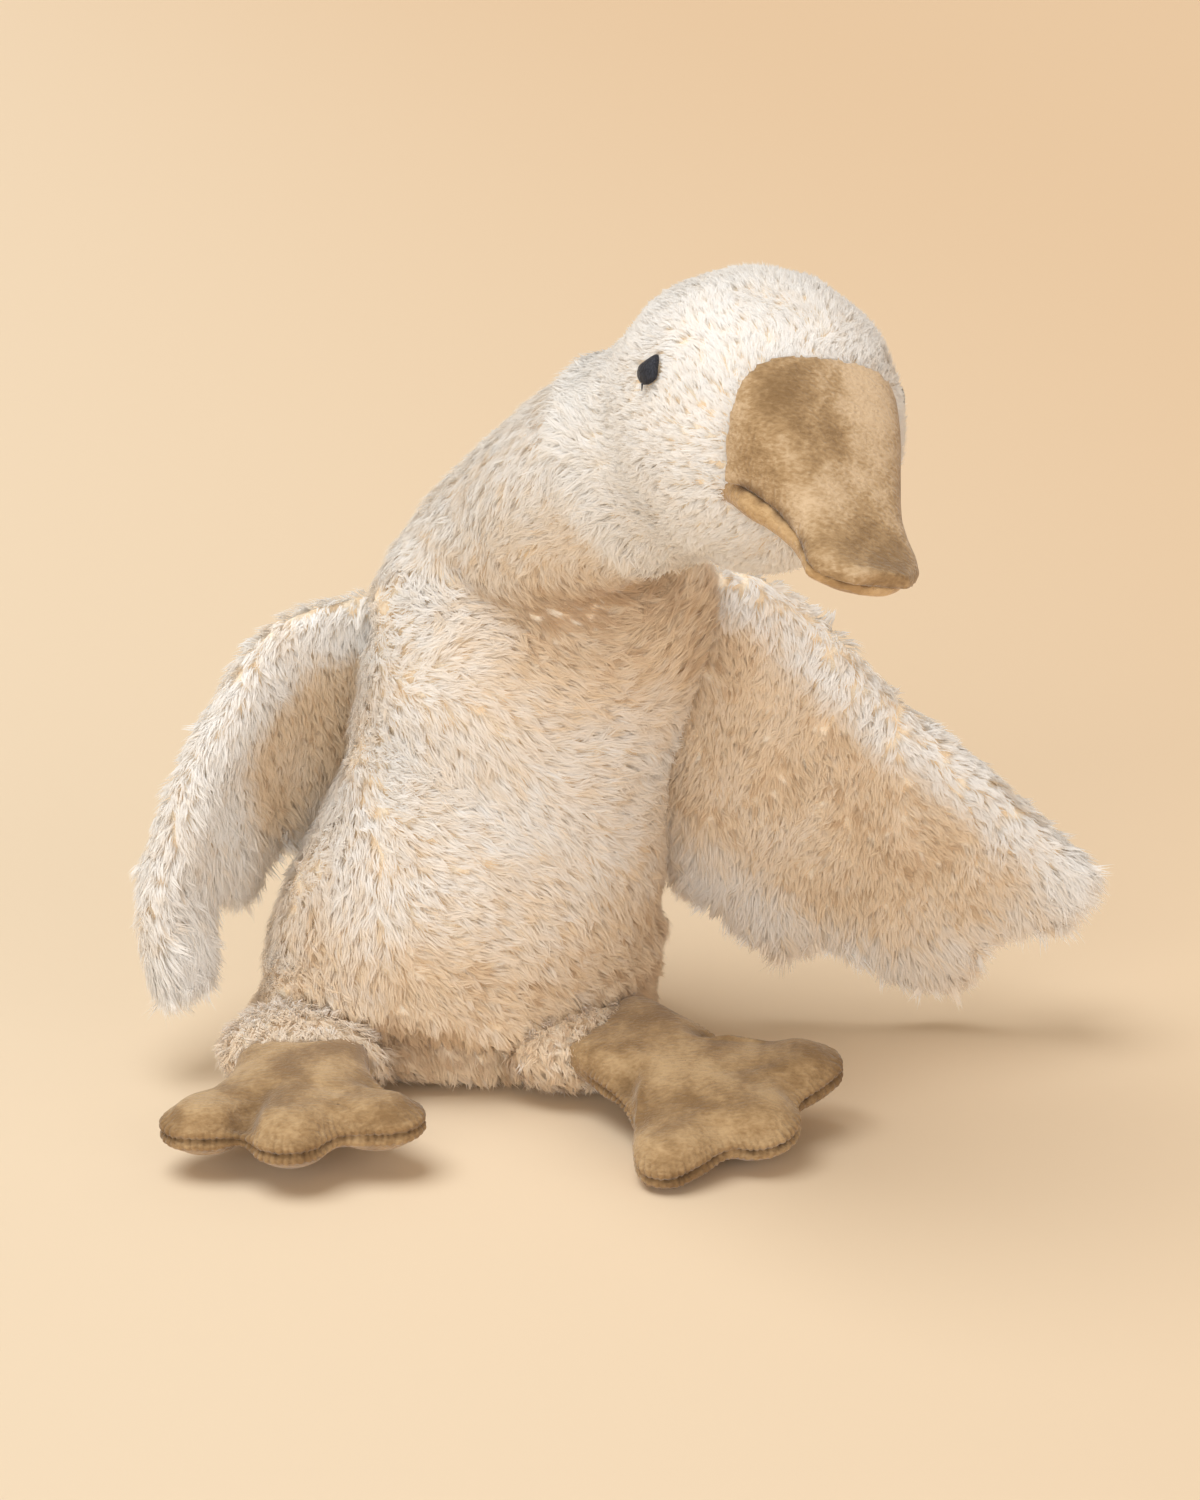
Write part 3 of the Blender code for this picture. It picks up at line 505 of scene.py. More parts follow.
def locks(name, place, normal, coat, seed):
    """Makes one piece of blades in pointed locks, a lock at each place.

    coat gives six values for each lock: nap direction, length, rise, spread, width and tone.
    """
    nap, length, rise, spread, width, tone = coat
    length, rise, spread, width = (part[:, None, None] for part in (length, rise, spread, width))
    rng = np.random.default_rng(seed)
    count = len(place)
    each = (count, LOCK, 1)
    nap = units(nap - (nap * normal).sum(axis=1, keepdims=True) * normal)
    side = np.cross(normal, nap)
    base, along, across, high = (part[:, None] for part in (place, nap, side, normal))
    turn = rng.uniform(0.0, 2.0 * np.pi, each)
    reach = spread * np.sqrt(rng.uniform(0.0, 1.0, each))
    offset = reach * (np.cos(turn) * along + np.sin(turn) * across)
    long = length * rng.uniform(*LONG_RANGE, each)
    up = rise * rng.uniform(*RISE_RANGE, each)
    curl = rng.normal(0.0, LOCK_CURL, (count, 1, 1)) + rng.normal(0.0, STRAND_CURL, each)
    root = base + offset - ROOT_DEPTH * high
    bend = base + BEND_SPREAD * offset + BEND_ALONG * long * along
    bend = bend + BEND_RISE * up * high + BEND_CURL * curl * long * across
    tip = base + TIP_SPREAD * offset + TIP_ALONG * long * along
    tip = tip + up * high * rng.uniform(*TIP_RANGE, each) + curl * long * across
    axis = units(tip - root)
    flat = units(np.cross(axis, np.broadcast_to(high, axis.shape)))
    half = width * rng.uniform(*WIDTH_RANGE, each)
    points = np.stack((root, bend + half * flat, bend - half * flat, tip), axis=2).reshape(-1, 3)
    points[:, 2] = np.maximum(points[:, 2], LOWEST_HAIR)
    outward = blade_facing(high, np.cross(flat, axis), flat, along, across, axis, rng)
    shade = np.clip(tone[:, None] + rng.normal(0.0, TONE_RANGE, (count, LOCK)), 0.02, 0.98)
    map_across = shade[..., None] + MAP_ACROSS
    map_up = np.broadcast_to(MAP_UP, map_across.shape)
    flat_map = np.stack((map_across, map_up), axis=-1).reshape(-1, 2)
    faces = (4 * np.arange(count * LOCK)[:, None, None] + BLADE).reshape(-1, 3)
    print(name, count, "locks", len(faces), "triangles")
    new_piece(name, points, faces, pile, flat_map, outward)


# %% [markdown]
# ## Body
# One bag from seat to crown. The skin lies a little under the solid's surface, and the pile
# on it fills the difference. The nap runs to the goose's left and down over the chest and
# belly, down the back, back over the head, and down the neck.

# %% Skin of the body
PILE_DEPTH = 0.0019
body_skin = skin_of("body_skin", "body", 0.0027, 2, backing, inset=PILE_DEPTH)

# %% [markdown]
# The slack cloth of the belly hangs over the seat in two folds, and the neck folds over the
# chest under the chin. Each is a dent along a smooth line, deepest on the line. The cloth
# swells a little just above the lowest one.

# %% Folds of the belly and the chin
low_fold = through(np.linspace(0.0, 1.0, 9), np.array((
    (-0.0530, -0.0285, 0.0196), (-0.0391, -0.0399, 0.0201), (-0.0273, -0.0447, 0.0186),
    (-0.0158, -0.0475, 0.0181), (0.0103, -0.0466, 0.0155), (0.0363, -0.0389, 0.0142),
    (0.0495, -0.0288, 0.0169), (0.0595, -0.0174, 0.0263), (0.0679, -0.0042, 0.0352))), FINE)
high_fold = through(np.linspace(0.0, 1.0, 5), np.array((
    (-0.0528, -0.0287, 0.0266), (-0.0388, -0.0402, 0.0284), (-0.0254, -0.0463, 0.0276),
    (-0.0120, -0.0490, 0.0262), (0.0020, -0.0500, 0.0250))), FINE)
chin_fold = through(np.linspace(0.0, 1.0, 5), np.array((
    (0.0002, -0.0231, 0.1778), (0.0145, -0.0297, 0.1655), (0.0495, -0.0308, 0.1685),
    (0.0726, -0.0629, 0.1872), (0.0837, -0.1017, 0.2021))), FINE)
FOLDS = ((low_fold, 0.0042, 1.0), (high_fold, 0.0034, 0.6), (chin_fold, 0.0048, 0.7))
FOLD_DEPTH = 0.0060
SWELL, SWELL_FROM_FOLD, SWELL_WIDTH = 0.0028, 0.0095, 0.0045


def fold_depth(place):
    """How deep in a fold each point is: share * exp(-(distance / width)^2) of the deepest one."""
    depths = [
        share * np.exp(-((near(place, line)[0] / width) ** 2)) for line, width, share in FOLDS]
    return np.max(depths, axis=0)


points, outward, _ = surface(body_skin)
low, nearest = near(points, low_fold)
swell = np.exp(-(((low - SWELL_FROM_FOLD) / SWELL_WIDTH) ** 2))
swell *= ease(points[:, 2] - nearest[:, 2], 0.0, 0.004)
lift = SWELL * swell - FOLD_DEPTH * fold_depth(points)
points = moved(body_skin, points + outward * lift[:, None])
print("folds pressed into", int((fold_depth(points) > 0.3).sum()), "points")


# %% [markdown]
# The body is one piece of cloth with three kinds of coat, which run into each other: shaggy on
# the torso, smoother on the neck, short and dense on the head.

# %% Zones and nap of the body
NECK_NAP = np.array((-0.42, 0.22, -0.80))


def body_zones(place):
    """Shares of torso, neck and head at each place, which add up to 1."""
    on_head = 1.0 - ease(np.linalg.norm(place - HEAD, axis=1), 0.046, 0.062)
    on_neck = ease(place[:, 2] + 0.25 * place[:, 1], 0.162, 0.178) * (1.0 - on_head)
    return 1.0 - np.maximum(on_head, on_neck), on_neck, on_head


def body_nap(place, normal, zones, rng):
    """The way each lock lies.

    On the chest it runs to the goose's left, sloping down by 18 degrees at the shoulders and 52
    at the seat. Slow waves turn it a little here and there, as rubbing does.
    """
    on_torso, on_neck, on_head = (share[:, None] for share in zones)
    count = len(place)
    slope = np.radians(18.0 + 34.0 * (1.0 - place[:, 2] / 0.150))
    slope -= np.radians(62.0) * ease(place[:, 0], 0.045, 0.075) * ease(place[:, 2], 0.125, 0.150)
    slope += np.radians(34.0) * waves(place, 0.050, 11) + rng.normal(0.0, 0.16, count)
    level = np.zeros(count)
    chest = np.stack((np.cos(slope), level, -np.sin(slope)), axis=1)
    back = np.stack((0.35 * waves(place, 0.07, 12), level, level - 1.0), axis=1)
    front = ease(-normal[:, 1], -0.35, 0.25)[:, None]
    torso_nap = units(front * chest + (1.0 - front) * back)
    neck_nap = units(NECK_NAP + 0.45 * swirl(place, 0.035, 13))
    head_nap = units(-0.9 * head_forward - 0.35 * head_up + 0.5 * swirl(place, 0.028, 16))
    nap = on_torso * torso_nap + on_neck * neck_nap + on_head * head_nap
    return units(nap) + rng.normal(0.0, 0.11, (count, 3))


# %% Tone of the body
def body_tone(place, normal, zones, low_belly, fold):
    """How much a lock's tone differs from its zone's.

    Painted shade makes the fur darker and warmer low on the belly, under the neck, on the side
    of the chest under the chin, low on the goose's left, and in the folds.
    """
    on_torso, on_neck, _ = zones
    shade_under_neck = (1.0 - ease(normal[:, 2], -0.55, 0.15)) * on_neck
    shade_under_chin = ease(place[:, 2], 0.108, 0.150) * ease(place[:, 0], -0.004, 0.034) * on_torso
    shaded_left_belly = ease(place[:, 0], 0.020, 0.055)
    shaded_left_belly = shaded_left_belly * (1.0 - ease(place[:, 2], 0.055, 0.100)) * on_torso
    # Every term but the first is painted shade; the waves are tone that differs at random.
    return (
        0.12 * waves(place, 0.040, 20) * on_torso - 0.48 * low_belly - 0.06 * shaded_left_belly
        - 0.30 * shade_under_neck - 0.60 * shade_under_chin - 1.00 * fold)


# %% Coat of the body
ZONE_COATS = np.array((
    # length, rise, spread, width, tone
    (0.0098, 0.0026, 0.0019, 0.00025, 0.84),  # torso
    (0.0078, 0.0024, 0.0017, 0.00024, 0.92),  # neck
    (0.0044, 0.0021, 0.0014, 0.00020, 0.97)))  # head
RUBBED_SHARE = 0.14
RIM = 0.0400


def body_coat(place, normal, seed):
    """Nap, length, rise, spread, width and tone of the body's locks, from where each lock is.

    Locks are short round the eyes and at the rim of the bill, so that they leave both open.
    """
    rng = np.random.default_rng(seed)
    count = len(place)
    zones = body_zones(place)
    on_torso, _, on_head = zones
    nap = body_nap(place, normal, zones, rng)
    length, rise, spread, width, tone = (ZONE_COATS.T[:, :, None] * np.stack(zones)).sum(axis=1)
    low_belly = (1.0 - ease(place[:, 2] - 0.25 * place[:, 0], 0.030, 0.095)) * on_torso
    length = length * (1.0 - 0.24 * low_belly) * rng.uniform(0.8, 1.2, count)
    eye_gap = np.minimum(*(np.linalg.norm(place - EYES[side], axis=1) for side in SIDES))
    length = np.minimum(length, 0.0016 + 0.55 * np.maximum(eye_gap - 0.0050, 0.0))
    length = np.minimum(length, 0.0032 + 0.40 * np.maximum(RIM - towards_bill(place), 0.0))
    rise = rise * (1.0 + 0.25 * waves(place, 0.018, 19)) * np.minimum(length / 0.0040, 1.0)
    fold = fold_depth(place) * on_torso
    tone = tone + body_tone(place, normal, zones, low_belly, fold) + rng.normal(0.0, 0.06, count)
    tone -= 0.22 * (rng.uniform(0.0, 1.0, count) < RUBBED_SHARE) * (1.0 - 0.8 * on_head)
    length *= 1.0 - 0.75 * fold
    rise *= 1.0 - 0.60 * fold
    return nap, length, rise, spread, width, np.clip(tone, 0.03, 0.97)


def body_weight(middle):
    """How thickly the pile stands: most on the head, least behind, none on the sitting face."""
    from_head = np.linalg.norm(middle - HEAD, axis=1)
    weight = 1.0 + (1.0 - ease(from_head, 0.048, 0.060)) - 0.40 * ease(middle[:, 1], 0.000, 0.030)
    return weight * ease(middle[:, 2], 0.0005, 0.0020) * (1.0 - 0.45 * fold_depth(middle))


# %% Pile of the body
BODY_LOCKS = 19000
NO_PILE = {"right": 0.0046, "left": 0.0036}
points, outward, triangles = surface(body_skin)
place, normal = scatter(points, outward, triangles, BODY_LOCKS, body_weight, 1)
for side in SIDES:
    outside = np.linalg.norm(place - EYES[side], axis=1) >= NO_PILE[side]
    place, normal = place[outside], normal[outside]
coat = body_coat(place, normal, 2)
shares = (
    ("head_pile", 30, np.linalg.norm(place - HEAD, axis=1) < 0.052),
    ("back_pile", 30, (place[:, 1] > 0.004) & (place[:, 2] < 0.175)),
    ("belly_pile", 30, place[:, 2] < 0.085),
    ("chest_pile", 31, np.ones(len(place), bool)))
left_over = np.ones(len(place), bool)
for name, seed, wanted in shares:
    chosen = wanted & left_over
    left_over &= ~chosen
    locks(name, place[chosen], normal[chosen], [part[chosen] for part in coat], seed)

# %% [markdown]
# ## Wings
# Each wing is a flap with a thicker leading edge. The face towards the chest has a short
# pile, painted beige as shade, the leading edge is painted whiter as light, and long silky locks hang
# from the scallops.

# %% Skins of the wings
LIMB_VOXEL = 0.0024
WING_INSET = 0.0016
left_wing_skin = skin_of(
    "left_wing_skin", "left_wing", LIMB_VOXEL, 2, backing, WING_INSET)
right_wing_skin = skin_of(
    "right_wing_skin", "right_wing", LIMB_VOXEL, 2, backing, WING_INSET)


# %% Coat of a wing
WING_TONE, INNER_SHADE = 0.88, 0.56
WING_LENGTH, FRINGE_LENGTH, EDGE_LENGTH, INNER_LENGTH = 0.0070, 0.0052, 0.0010, 0.0012
STRAND_WIDTH = 0.00026
FALL = np.array((0.0, 0.0, -0.35))


def wing_coat(place, normal, lead, trail, facing, inner_from, outward_way, seed):
    """The same six values for a wing. The nap runs to the trailing edge and out along the span.

    The inner face is the side that looks along facing, from inner_from on in x.
    """
    rng = np.random.default_rng(seed)
    count = len(place)
    from_lead, _ = near(place, lead)
    from_trail, edge = near(place, trail)
    inner = ease(normal @ np.array(facing), 0.15, 0.55)
    inner *= ease(place[:, 0], inner_from - 0.006, inner_from + 0.004)
    fringe = 1.0 - ease(from_trail, 0.014, 0.030)
    leading = 1.0 - ease(from_lead, 0.010, 0.022)
    nap = 0.8 * units(edge - place) + 0.55 * np.array(outward_way) + 0.45 * swirl(place, 0.030, 41)
    nap = units(nap + FALL * fringe[:, None]) + rng.normal(0.0, 0.18, (count, 3))
    length = WING_LENGTH + FRINGE_LENGTH * fringe + EDGE_LENGTH * leading
    length = (length - INNER_LENGTH * inner * (1.0 - fringe)) * rng.uniform(0.8, 1.2, count)
    rise = (0.0026 + 0.0008 * fringe) * (1.0 + 0.25 * waves(place, 0.016, 44))
    spread = 0.0018 + 0.0003 * fringe
    # Painted light whitens the leading edge; painted shade darkens the inner face, less in the
    # fringe.
    tone = WING_TONE + 0.10 * waves(place, 0.030, 45) + 0.08 * leading
    tone -= INNER_SHADE * inner * (1.0 - leading) * (1.0 - 0.60 * fringe)
    tone -= 0.20 * (rng.uniform(0.0, 1.0, count) < RUBBED_SHARE)
    return nap, length, rise, spread, np.full(count, STRAND_WIDTH), np.clip(tone, 0.05, 0.97)


def wing_locks(name, skin, count, lead, trail, facing, inner_from, outward_way, seed):
    """Scatters a wing's locks, thicker along the trailing edge."""
    def thickness(middle):
        return 1.0 + 0.8 * (1.0 - ease(near(middle, trail)[0], 0.012, 0.024))

    points, outward, triangles = surface(skin)
    place, normal = scatter(points, outward, triangles, count, thickness, seed)
    coat = wing_coat(place, normal, lead, trail, facing, inner_from, outward_way, seed + 1)
    locks(name, place, normal, coat, seed + 2)


wing_locks(
    "left_wing_pile", left_wing_skin, 5200, left_lead, left_trail,
    facing=(0.0, -1.0, 0.0), inner_from=-1.0, outward_way=(0.55, 0.0, -0.45), seed=50)
wing_locks(
    "right_wing_pile", right_wing_skin, 4000, right_lead, right_trail,
    facing=(0.75, -0.66, 0.0), inner_from=-0.066, outward_way=(-0.25, -0.30, -0.85), seed=60)

# %% [markdown]
# ## Legs
# Short plush stubs that peep out from under the belly, with a softer, shorter coat, painted darker as
# shade.

# %% Legs
LEG_LOCKS = 800
LEG_INSET = 0.0012
LEG_NAP = np.array((0.25, -0.60, -0.55))
LEGS = (
    # side, seed, length against the usual, mean tone, lowered as painted shade under the belly
    ("right", 70, 0.95, 0.50),
    ("left", 80, 0.90, 0.28))


def off_floor(middle):
    """No pile on the side that a leg lies on."""
    return ease(middle[:, 2], 0.002, 0.008)


for side, seed, long, shaded_tone in LEGS:
    skin = skin_of(side + "_leg_skin", side + "_leg", LIMB_VOXEL, 2, backing, LEG_INSET)
    points, outward, triangles = surface(skin)
    place, normal = scatter(points, outward, triangles, LEG_LOCKS, off_floor, seed)
    rng = np.random.default_rng(seed + 1)
    count = len(place)
    nap = LEG_NAP + rng.normal(0.0, 0.25, (count, 3))
    tone = np.clip(shaded_tone + rng.normal(0.0, 0.12, count), 0.05, 0.95)
    length = long * rng.uniform(0.0055, 0.0085, count)
    rise = long * rng.uniform(0.0024, 0.0036, count)
    coat = (nap, length, rise, np.full(count, 0.0018), np.full(count, STRAND_WIDTH), tone)
    locks(side + "_leg_pile", place, normal, coat, seed + 2)

# %% [markdown]
# ## Velour
# Bill and feet are cut from a short, dense velour. Its pile is under a millimetre, so it is a
# fine grain on the surface. Where it was stroked one way it looks darker, the other way paler.


# %% Velour finishes
def velour(name, dark, middle, pale, crease, patch, squeeze):
    """Mottled short pile: broad rubbed patches, streaks of nap, a fine grain, and creases painted
    darker as shade.

    patch is how many rubbed patches fit in a metre, and squeeze how flat they lie.
    """
    def fibres(start):
        return start.noise(1000.0, detail=2.0, stretch=(0.55, 1.0, 1.0))

    def colour(start):
        """Broad patches and finer streaks from dark to pale, and the crease colour: partly a dark
        seam, partly painted shade.
        """
        broad = start.noise(patch, detail=3.5, stretch=(1.0, 1.0, squeeze))
        streak = start.noise(patch * 5.0, detail=3.0, stretch=(1.0, 0.5, 1.6))
        value = (broad * 0.64 + streak * 0.16 + fibres(start) * 0.20).step(0.36, 0.64)
        stops = ((0.0, dark), (0.5, middle), (1.0, pale))
        mottled = start.node("ShaderNodeValToRGB", {"stops": stops}, {0: value})
        seam = start.node("ShaderNodeAttribute", {"attribute_name": "crease"}, out=2)
        return seam.blend(mottled, crease)

    def relief(start):
        """Short fibres on a soft unevenness, and the depth that they stand up to."""
        return fibres(start) * 0.6 + start.noise(300.0, detail=2.0) * 0.4, 0.0010

    return material(name, colour, roughness=0.85, sheen=0.30, bump_of=relief, specular=0.15)


bill_velour = velour(
    "bill_velour", dark=(0.225, 0.135, 0.060), middle=(0.39, 0.255, 0.130), pale=(0.60, 0.44, 0.28),
    crease=(0.12, 0.065, 0.030), patch=33.0, squeeze=0.80)
jaw_velour = velour(
    "jaw_velour", dark=(0.38, 0.235, 0.110), middle=(0.50, 0.325, 0.160), pale=(0.60, 0.41, 0.22),
    crease=(0.16, 0.090, 0.040), patch=60.0, squeeze=0.83)
foot_velour = velour(
    "foot_velour", dark=(0.235, 0.140, 0.062), middle=(0.36, 0.230, 0.112),
    pale=(0.49, 0.335, 0.180), crease=(0.085, 0.048, 0.022), patch=60.0, squeeze=0.85)


def mark_crease(item, depth):
    """Writes how deep in a crease each point is, for the finish to paint darker: painted shade, and
    on the feet also the seam's dark line.
    """
    layer = item.data.attributes.new("crease", "FLOAT", "POINT")
    layer.data.foreach_set("value", np.clip(depth, 0.0, 1.0).astype(np.float32))


# %% [markdown]
# ## Bill
# A sock of velour over the stuffed front of the head, and a paler strip under the mouth. The
# mouth is only a crease: where the two come close, both are painted darker as shade. The strip's own
# start is tucked in under the fur at the cheek.

# %% Bill
TUCK_DEPTH, TUCK_LENGTH = 0.0066, 0.014
EVERY = 40  # one point in so many is enough to measure a gap to
upper_bill = skin_of("upper_bill", "upper_beak", 0.0011, 4, bill_velour)
lower_bill = skin_of("lower_bill", "lower_beak", 0.0009, 3, jaw_velour)
upper_points, _, _ = surface(upper_bill)
lower_points, _, _ = surface(lower_bill)
rim = towards_bill(lower_points)
tuck = 1.0 - ease(rim, rim.min() + 0.001, rim.min() + TUCK_LENGTH)
tucked = lower_points - TUCK_DEPTH * tuck[:, None] * units(lower_points - HEAD)
lower_points = moved(lower_bill, tucked)
to_jaw, _ = near(upper_points, lower_points[::EVERY])
to_bill, _ = near(lower_points, upper_points[::EVERY])
# Painted shade: both velours darken where bill and strip come close.
mark_crease(upper_bill, 0.85 * (1.0 - ease(to_jaw, 0.0010, 0.0050)))
mark_crease(lower_bill, 0.75 * (1.0 - ease(to_bill, 0.0008, 0.0032)))
print("mouth crease over", int((to_jaw < 0.005).sum()), "points of the bill")

# %% [markdown]
# ## Feet
# Each foot is two pads of velour sewn edge to edge round three toes. The seam runs round the
# toes at half their height. It pulls the cloth in, and the pile stands in short ribs across it.
# The outline of the pad is read as its greatest reach in each direction from a middle point.
# The length along that outline spaces the ribs, and its two notches ahead part the toes.

# %% Feet
FOOT_TURNS = {"right": (-0.5, -3.0, 2.0), "left": (42.0, -7.0, 12.0)}
RIB = 0.0023
RIB_HEIGHT, RIDGE_HEIGHT, TOE_HEIGHT = 0.00042, 0.00050, 0.0016
GROOVE_DEPTH, TROUGH_DEPTH = 0.00130, 0.0030
SLOTS = 240
NOTCH_SECTORS = ((-75.0, -10.0), (10.0, 75.0))


def foot_ways(side):
    """Across, ahead and up of a foot, as the solid is turned, nodded and rolled."""
    yaw, pitch, roll = (math.radians(v) for v in FOOT_TURNS[side])
    level_ahead = np.array((math.sin(yaw), -math.cos(yaw), 0.0))
    level_across = np.array((math.cos(yaw), math.sin(yaw), 0.0))
    ahead = level_ahead * math.cos(pitch) + np.array((0.0, 0.0, math.sin(pitch)))
    tilted_up = -np.cross(level_across, ahead)
    return np.stack((
        level_across * math.cos(roll) + tilted_up * math.sin(roll), ahead,
        tilted_up * math.cos(roll) - level_across * math.sin(roll)))


def seam_map(points, ways):
    """Where each point is on the pad, and where the notches between the toes are.

    Length along the outline, distance in from it, height off the seam, distance from the heel
    and place from the pad's middle.
    """
    local = points @ ways.T
    low, high = local.min(axis=0), local.max(axis=0)
    height = local[:, 2] - (low[2] + high[2]) / 2
    centre = np.array(((low[0] + high[0]) / 2, low[1] + 0.36 * (high[1] - low[1])))
    away = local[:, :2] - centre
    turn = np.arctan2(away[:, 0], away[:, 1])
    reach = np.linalg.norm(away, axis=1)
    slot = np.clip(((turn + np.pi) / (2.0 * np.pi) * SLOTS).astype(int), 0, SLOTS - 1)
    outline = np.zeros(SLOTS)
    np.maximum.at(outline, slot, reach)
    middles = (np.arange(SLOTS) + 0.5) / SLOTS * 2.0 * np.pi - np.pi
    outline = (np.roll(outline, 1) + 2.0 * outline + np.roll(outline, -1)) / 4.0
    corners = outline[:, None] * np.stack((np.sin(middles), np.cos(middles)), axis=1)
    steps = np.linalg.norm(np.diff(corners, axis=0), axis=1)
    travelled = np.concatenate(((0.0,), np.cumsum(steps)))
    notches = []
    for first, last in NOTCH_SECTORS:
        ahead = (middles > math.radians(first)) & (middles < math.radians(last))
        notches.append(corners[ahead][np.argmin(outline[ahead])])
    along = np.interp(turn, middles, travelled)
    inward = np.interp(turn, middles, outline) - reach
    return along, inward, height, local[:, 1] - low[1], away, np.array(notches)


def valley(away, notch):
    """A soft trough from a notch in towards the ankle: a bell across, fading in lengthways."""
    start = np.array((0.25, -0.10)) * notch
    line = notch - start
    along = np.clip(((away - start) @ line) / (line @ line), 0.0, 1.05)
    gap = np.linalg.norm(away - start - along[:, None] * line, axis=1)
    return ease(along, 0.10, 0.80) * np.exp(-((gap / (0.0062 - 0.0022 * along)) ** 2))


for side, seed in (("right", 90), ("left", 94)):
    foot = skin_of(side + "_foot_pad", side + "_foot", 0.0013, 4, foot_velour)
    finer = foot.modifiers.new("finer", "SUBSURF")
    finer.levels = finer.render_levels = 1
    applied(foot)
    points, outward, _ = surface(foot)
    travelled, inward, height, from_heel, away, notches = seam_map(points, foot_ways(side))
    at_edge = (1.0 - ease(inward, 0.0040, 0.0090)) * ease(from_heel, 0.016, 0.030)
    ribs = np.sin(2.0 * np.pi * travelled / RIB + 1.1 * waves(points, 0.007, seed))
    band = np.exp(-((height / 0.0042) ** 2)) * at_edge
    band *= 0.75 + 0.35 * waves(points, 0.012, seed + 1)
    groove = np.exp(-((height / 0.0010) ** 2)) * at_edge
    ridge = np.exp(-(((np.abs(height) - 0.0024) / 0.0013) ** 2)) * at_edge
    troughs = np.maximum(valley(away, notches[0]), valley(away, notches[1]))
    troughs *= ease(np.abs(height), 0.0010, 0.0040)
    toe_tops = np.exp(-((inward - 0.0105) / 0.0065) ** 2)
    toe_tops *= ease(from_heel, 0.028, 0.046) * (1.0 - troughs)
    lift = (
        RIB_HEIGHT * ribs * band + RIDGE_HEIGHT * ridge - GROOVE_DEPTH * groove
        - TROUGH_DEPTH * troughs + TOE_HEIGHT * toe_tops)
    points = moved(foot, points + outward * lift[:, None])
    # The groove's dark line is partly the seam's own and partly painted shade; the darkening between
    # ribs and in the troughs is painted shade.
    broken = 0.65 + 0.45 * waves(points, 0.0045, seed + 2)
    shade_between_ribs = 0.40 * np.maximum(-ribs, 0.0) * band
    mark_crease(foot, 0.80 * groove * broken + shade_between_ribs + 0.30 * troughs)
    seam_length = round(float(travelled.max()), 3)
    print(foot.name, "seam", seam_length, "m,", len(foot.data.polygons), "faces")

# %% [markdown]
# ## Eyes
# Satin-stitched drops of blue-black thread, drawn out to a point up and ahead. Under the one on
# the goose's right the end of the thread was left hanging.

# %% Eyes
THREAD_DARK, THREAD_LIT = (0.004, 0.005, 0.010), (0.020, 0.023, 0.036)


def stitches(start):
    """Fine lines of thread, side by side and up and down."""
    return start.noise(2600.0, stretch=(1.0, 1.0, 0.15))


thread = material(
    "eye_thread", lambda start: stitches(start).step(0.3, 0.7).blend(THREAD_DARK, THREAD_LIT),
    roughness=0.45, sheen=0.1, bump_of=lambda start: (stitches(start), 0.0004), specular=0.4)
TUBE_SIDES = 8
POINTED, NARROWED = 0.22, 0.62
EYE_LEAN = {"right": np.array((0.64, 0.26, 0.72)), "left": np.array((0.50, -0.35, 0.75))}


def eye_ways(side):
    """Along the drop, across it and out of the head."""
    out = units(EYES[side] - HEAD)
    along = units(EYE_LEAN[side] - (EYE_LEAN[side] @ out) * out)
    return np.stack((along, np.cross(out, along), out))


def thread_end(name, line, thickness):
    """A round tube along a line of points.

    It thins to a point: radius = sqrt(share of the line that is left) * thickness / 2.
    """
    turns = np.linspace(0.0, 2.0 * np.pi, TUBE_SIDES, endpoint=False)
    left = np.sqrt(np.clip(1.0 - np.linspace(0.0, 1.0, len(line)), 0.0, 1.0)) * thickness / 2
    way = units(np.gradient(line, axis=0))
    side = units(np.cross(way, (0.3, 0.9, 0.2)))
    other = np.cross(way, side)
    across, up = np.cos(turns)[None, :, None], np.sin(turns)[None, :, None]
    rings = line[:, None] + left[:, None, None] * (across * side[:, None] + up * other[:, None])
    rings[0] = line[0]
    ring, corner = np.meshgrid(np.arange(len(line) - 1), np.arange(TUBE_SIDES), indexing="ij")
    first, second = ring * TUBE_SIDES + corner, ring * TUBE_SIDES + (corner + 1) % TUBE_SIDES
    faces = np.stack((first, second, second + TUBE_SIDES, first + TUBE_SIDES), axis=-1)
    item = new_piece(name, rings.reshape(-1, 3), faces.reshape(-1, 4), thread)
    weld(item.data)


for side in SIDES:
    eye = skin_of(side + "_eye_stitching", side + "_eye", 0.0004, 2, thread)
    points, _, _ = surface(eye)
    local = (points - EYES[side]) @ eye_ways(side).T
    front = ease(local[:, 0], -0.0010, 0.0050)
    local[:, 0] *= 1.0 + POINTED * front
    local[:, 1] *= 1.0 - NARROWED * front
    moved(eye, EYES[side] + local @ eye_ways(side))
TAIL_START = np.array((0.0002, -0.0010, -0.0042))
TAIL_WAY = np.array((0.0018, 0.0004, -0.0030))
OFF_HEAD = 0.0016
tail = EYES["right"] + np.outer(np.linspace(0.0, 1.0, 9), TAIL_WAY) + TAIL_START
tail = HEAD + units(tail - HEAD) * (np.linalg.norm(EYES["right"] - HEAD) + OFF_HEAD)
thread_end("right_eye_thread_end", tail, thickness=0.0007)

# %% [markdown]
# ## Floor and light
# The photograph has a seamless peach ground, a soft lamp high on the left and plenty of warm
# fill. A sun with a large disc throws equally soft shadows wherever the goose is. The two low
# suns light the fur from the front, and hardly touch the ground.

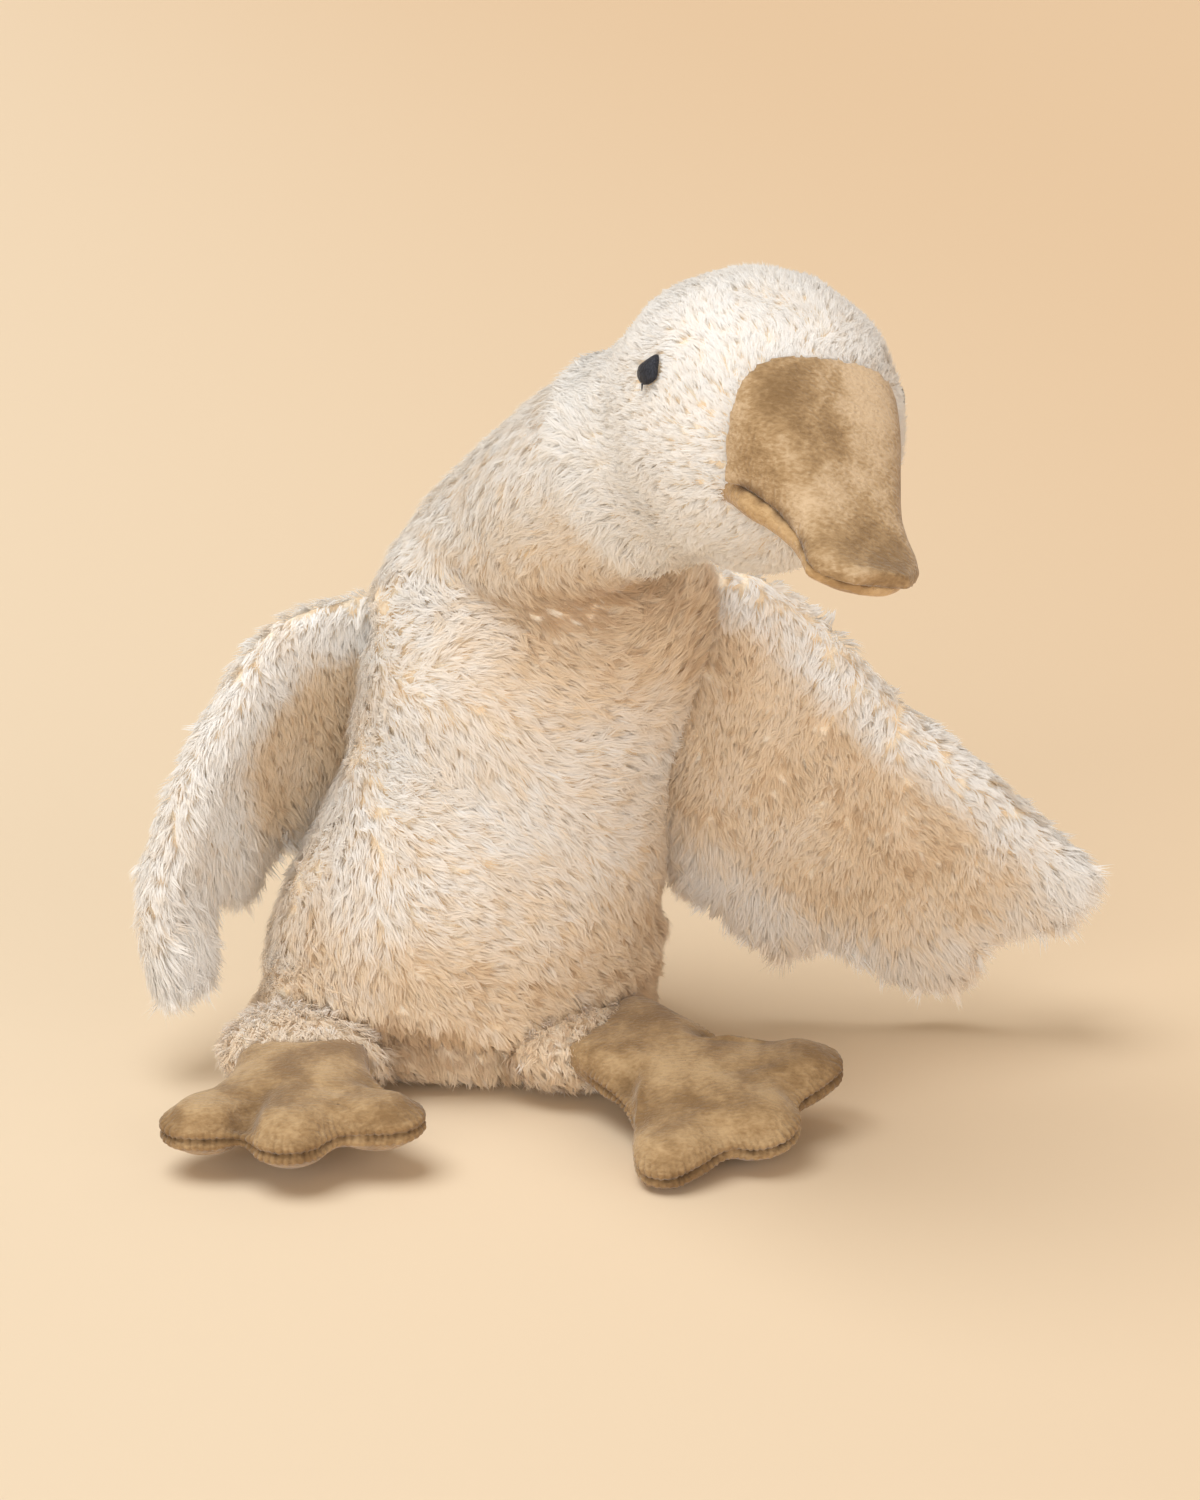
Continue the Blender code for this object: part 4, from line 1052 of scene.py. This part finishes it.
# %% Floor
FLOOR_SIZE = 9.0
FLOOR_LIT, FLOOR_DIM = (0.80, 0.66, 0.49), (0.71, 0.52, 0.34)


def floor_colour(start):
    """Peach that deepens slowly to the back and the right: a painted falloff of the light."""
    where = start.node("ShaderNodeTexCoord", out="Object")
    sideways = start.node("ShaderNodeSeparateXYZ", inputs={0: where}, out=0)
    away = start.node("ShaderNodeSeparateXYZ", inputs={0: where}, out=1)
    return (sideways * 0.9 + away * 0.25).step(-0.35, 0.75).blend(FLOOR_LIT, FLOOR_DIM)


ground = material("peach_ground", floor_colour, roughness=0.9, specular=0.1)
edge = np.array(((-1.0, -1.0), (1.0, -1.0), (1.0, 1.0), (-1.0, 1.0))) * FLOOR_SIZE / 2
floor_mesh = bpy.data.meshes.new("floor")
floor_mesh.from_pydata([(x, y, 0.0) for x, y in edge], [], [(0, 1, 2, 3)])
floor_mesh.materials.append(ground)
floor = bpy.data.objects.new("floor", floor_mesh)
bpy.context.scene.collection.objects.link(floor)


# %% Lamps
def lamp(name, towards, strength, size, colour):
    """A sun whose light travels along towards; size is its disc in degrees."""
    data = bpy.data.lights.new(name, "SUN")
    data.energy = strength
    data.angle = math.radians(size)
    data.color = colour
    item = bpy.data.objects.new(name, data)
    bpy.context.scene.collection.objects.link(item)
    way = units(np.array(towards, float))
    item.rotation_euler = (math.acos(-way[2]), 0.0, math.atan2(way[1], way[0]) - math.radians(90.0))


lamp("key", (0.27, 0.05, -0.96), 2.3, 44.0, (0.93, 0.97, 1.0))
lamp("front", (0.36, 0.92, -0.10), 2.0, 60.0, (0.95, 0.98, 1.0))
lamp("right", (-0.66, 0.75, -0.06), 1.15, 60.0, (0.98, 0.97, 1.0))

# %% Fill and view
FILL_COLOUR = (1.0, 0.80, 0.56, 1.0)
FILL_STRENGTH = 0.36
world = bpy.data.worlds.new("warm_fill")
bpy.context.scene.world = world
world.use_nodes = True
background = world.node_tree.nodes["Background"]
background.inputs["Color"].default_value = FILL_COLOUR
background.inputs["Strength"].default_value = FILL_STRENGTH
bpy.context.scene.view_settings.view_transform = "Standard"
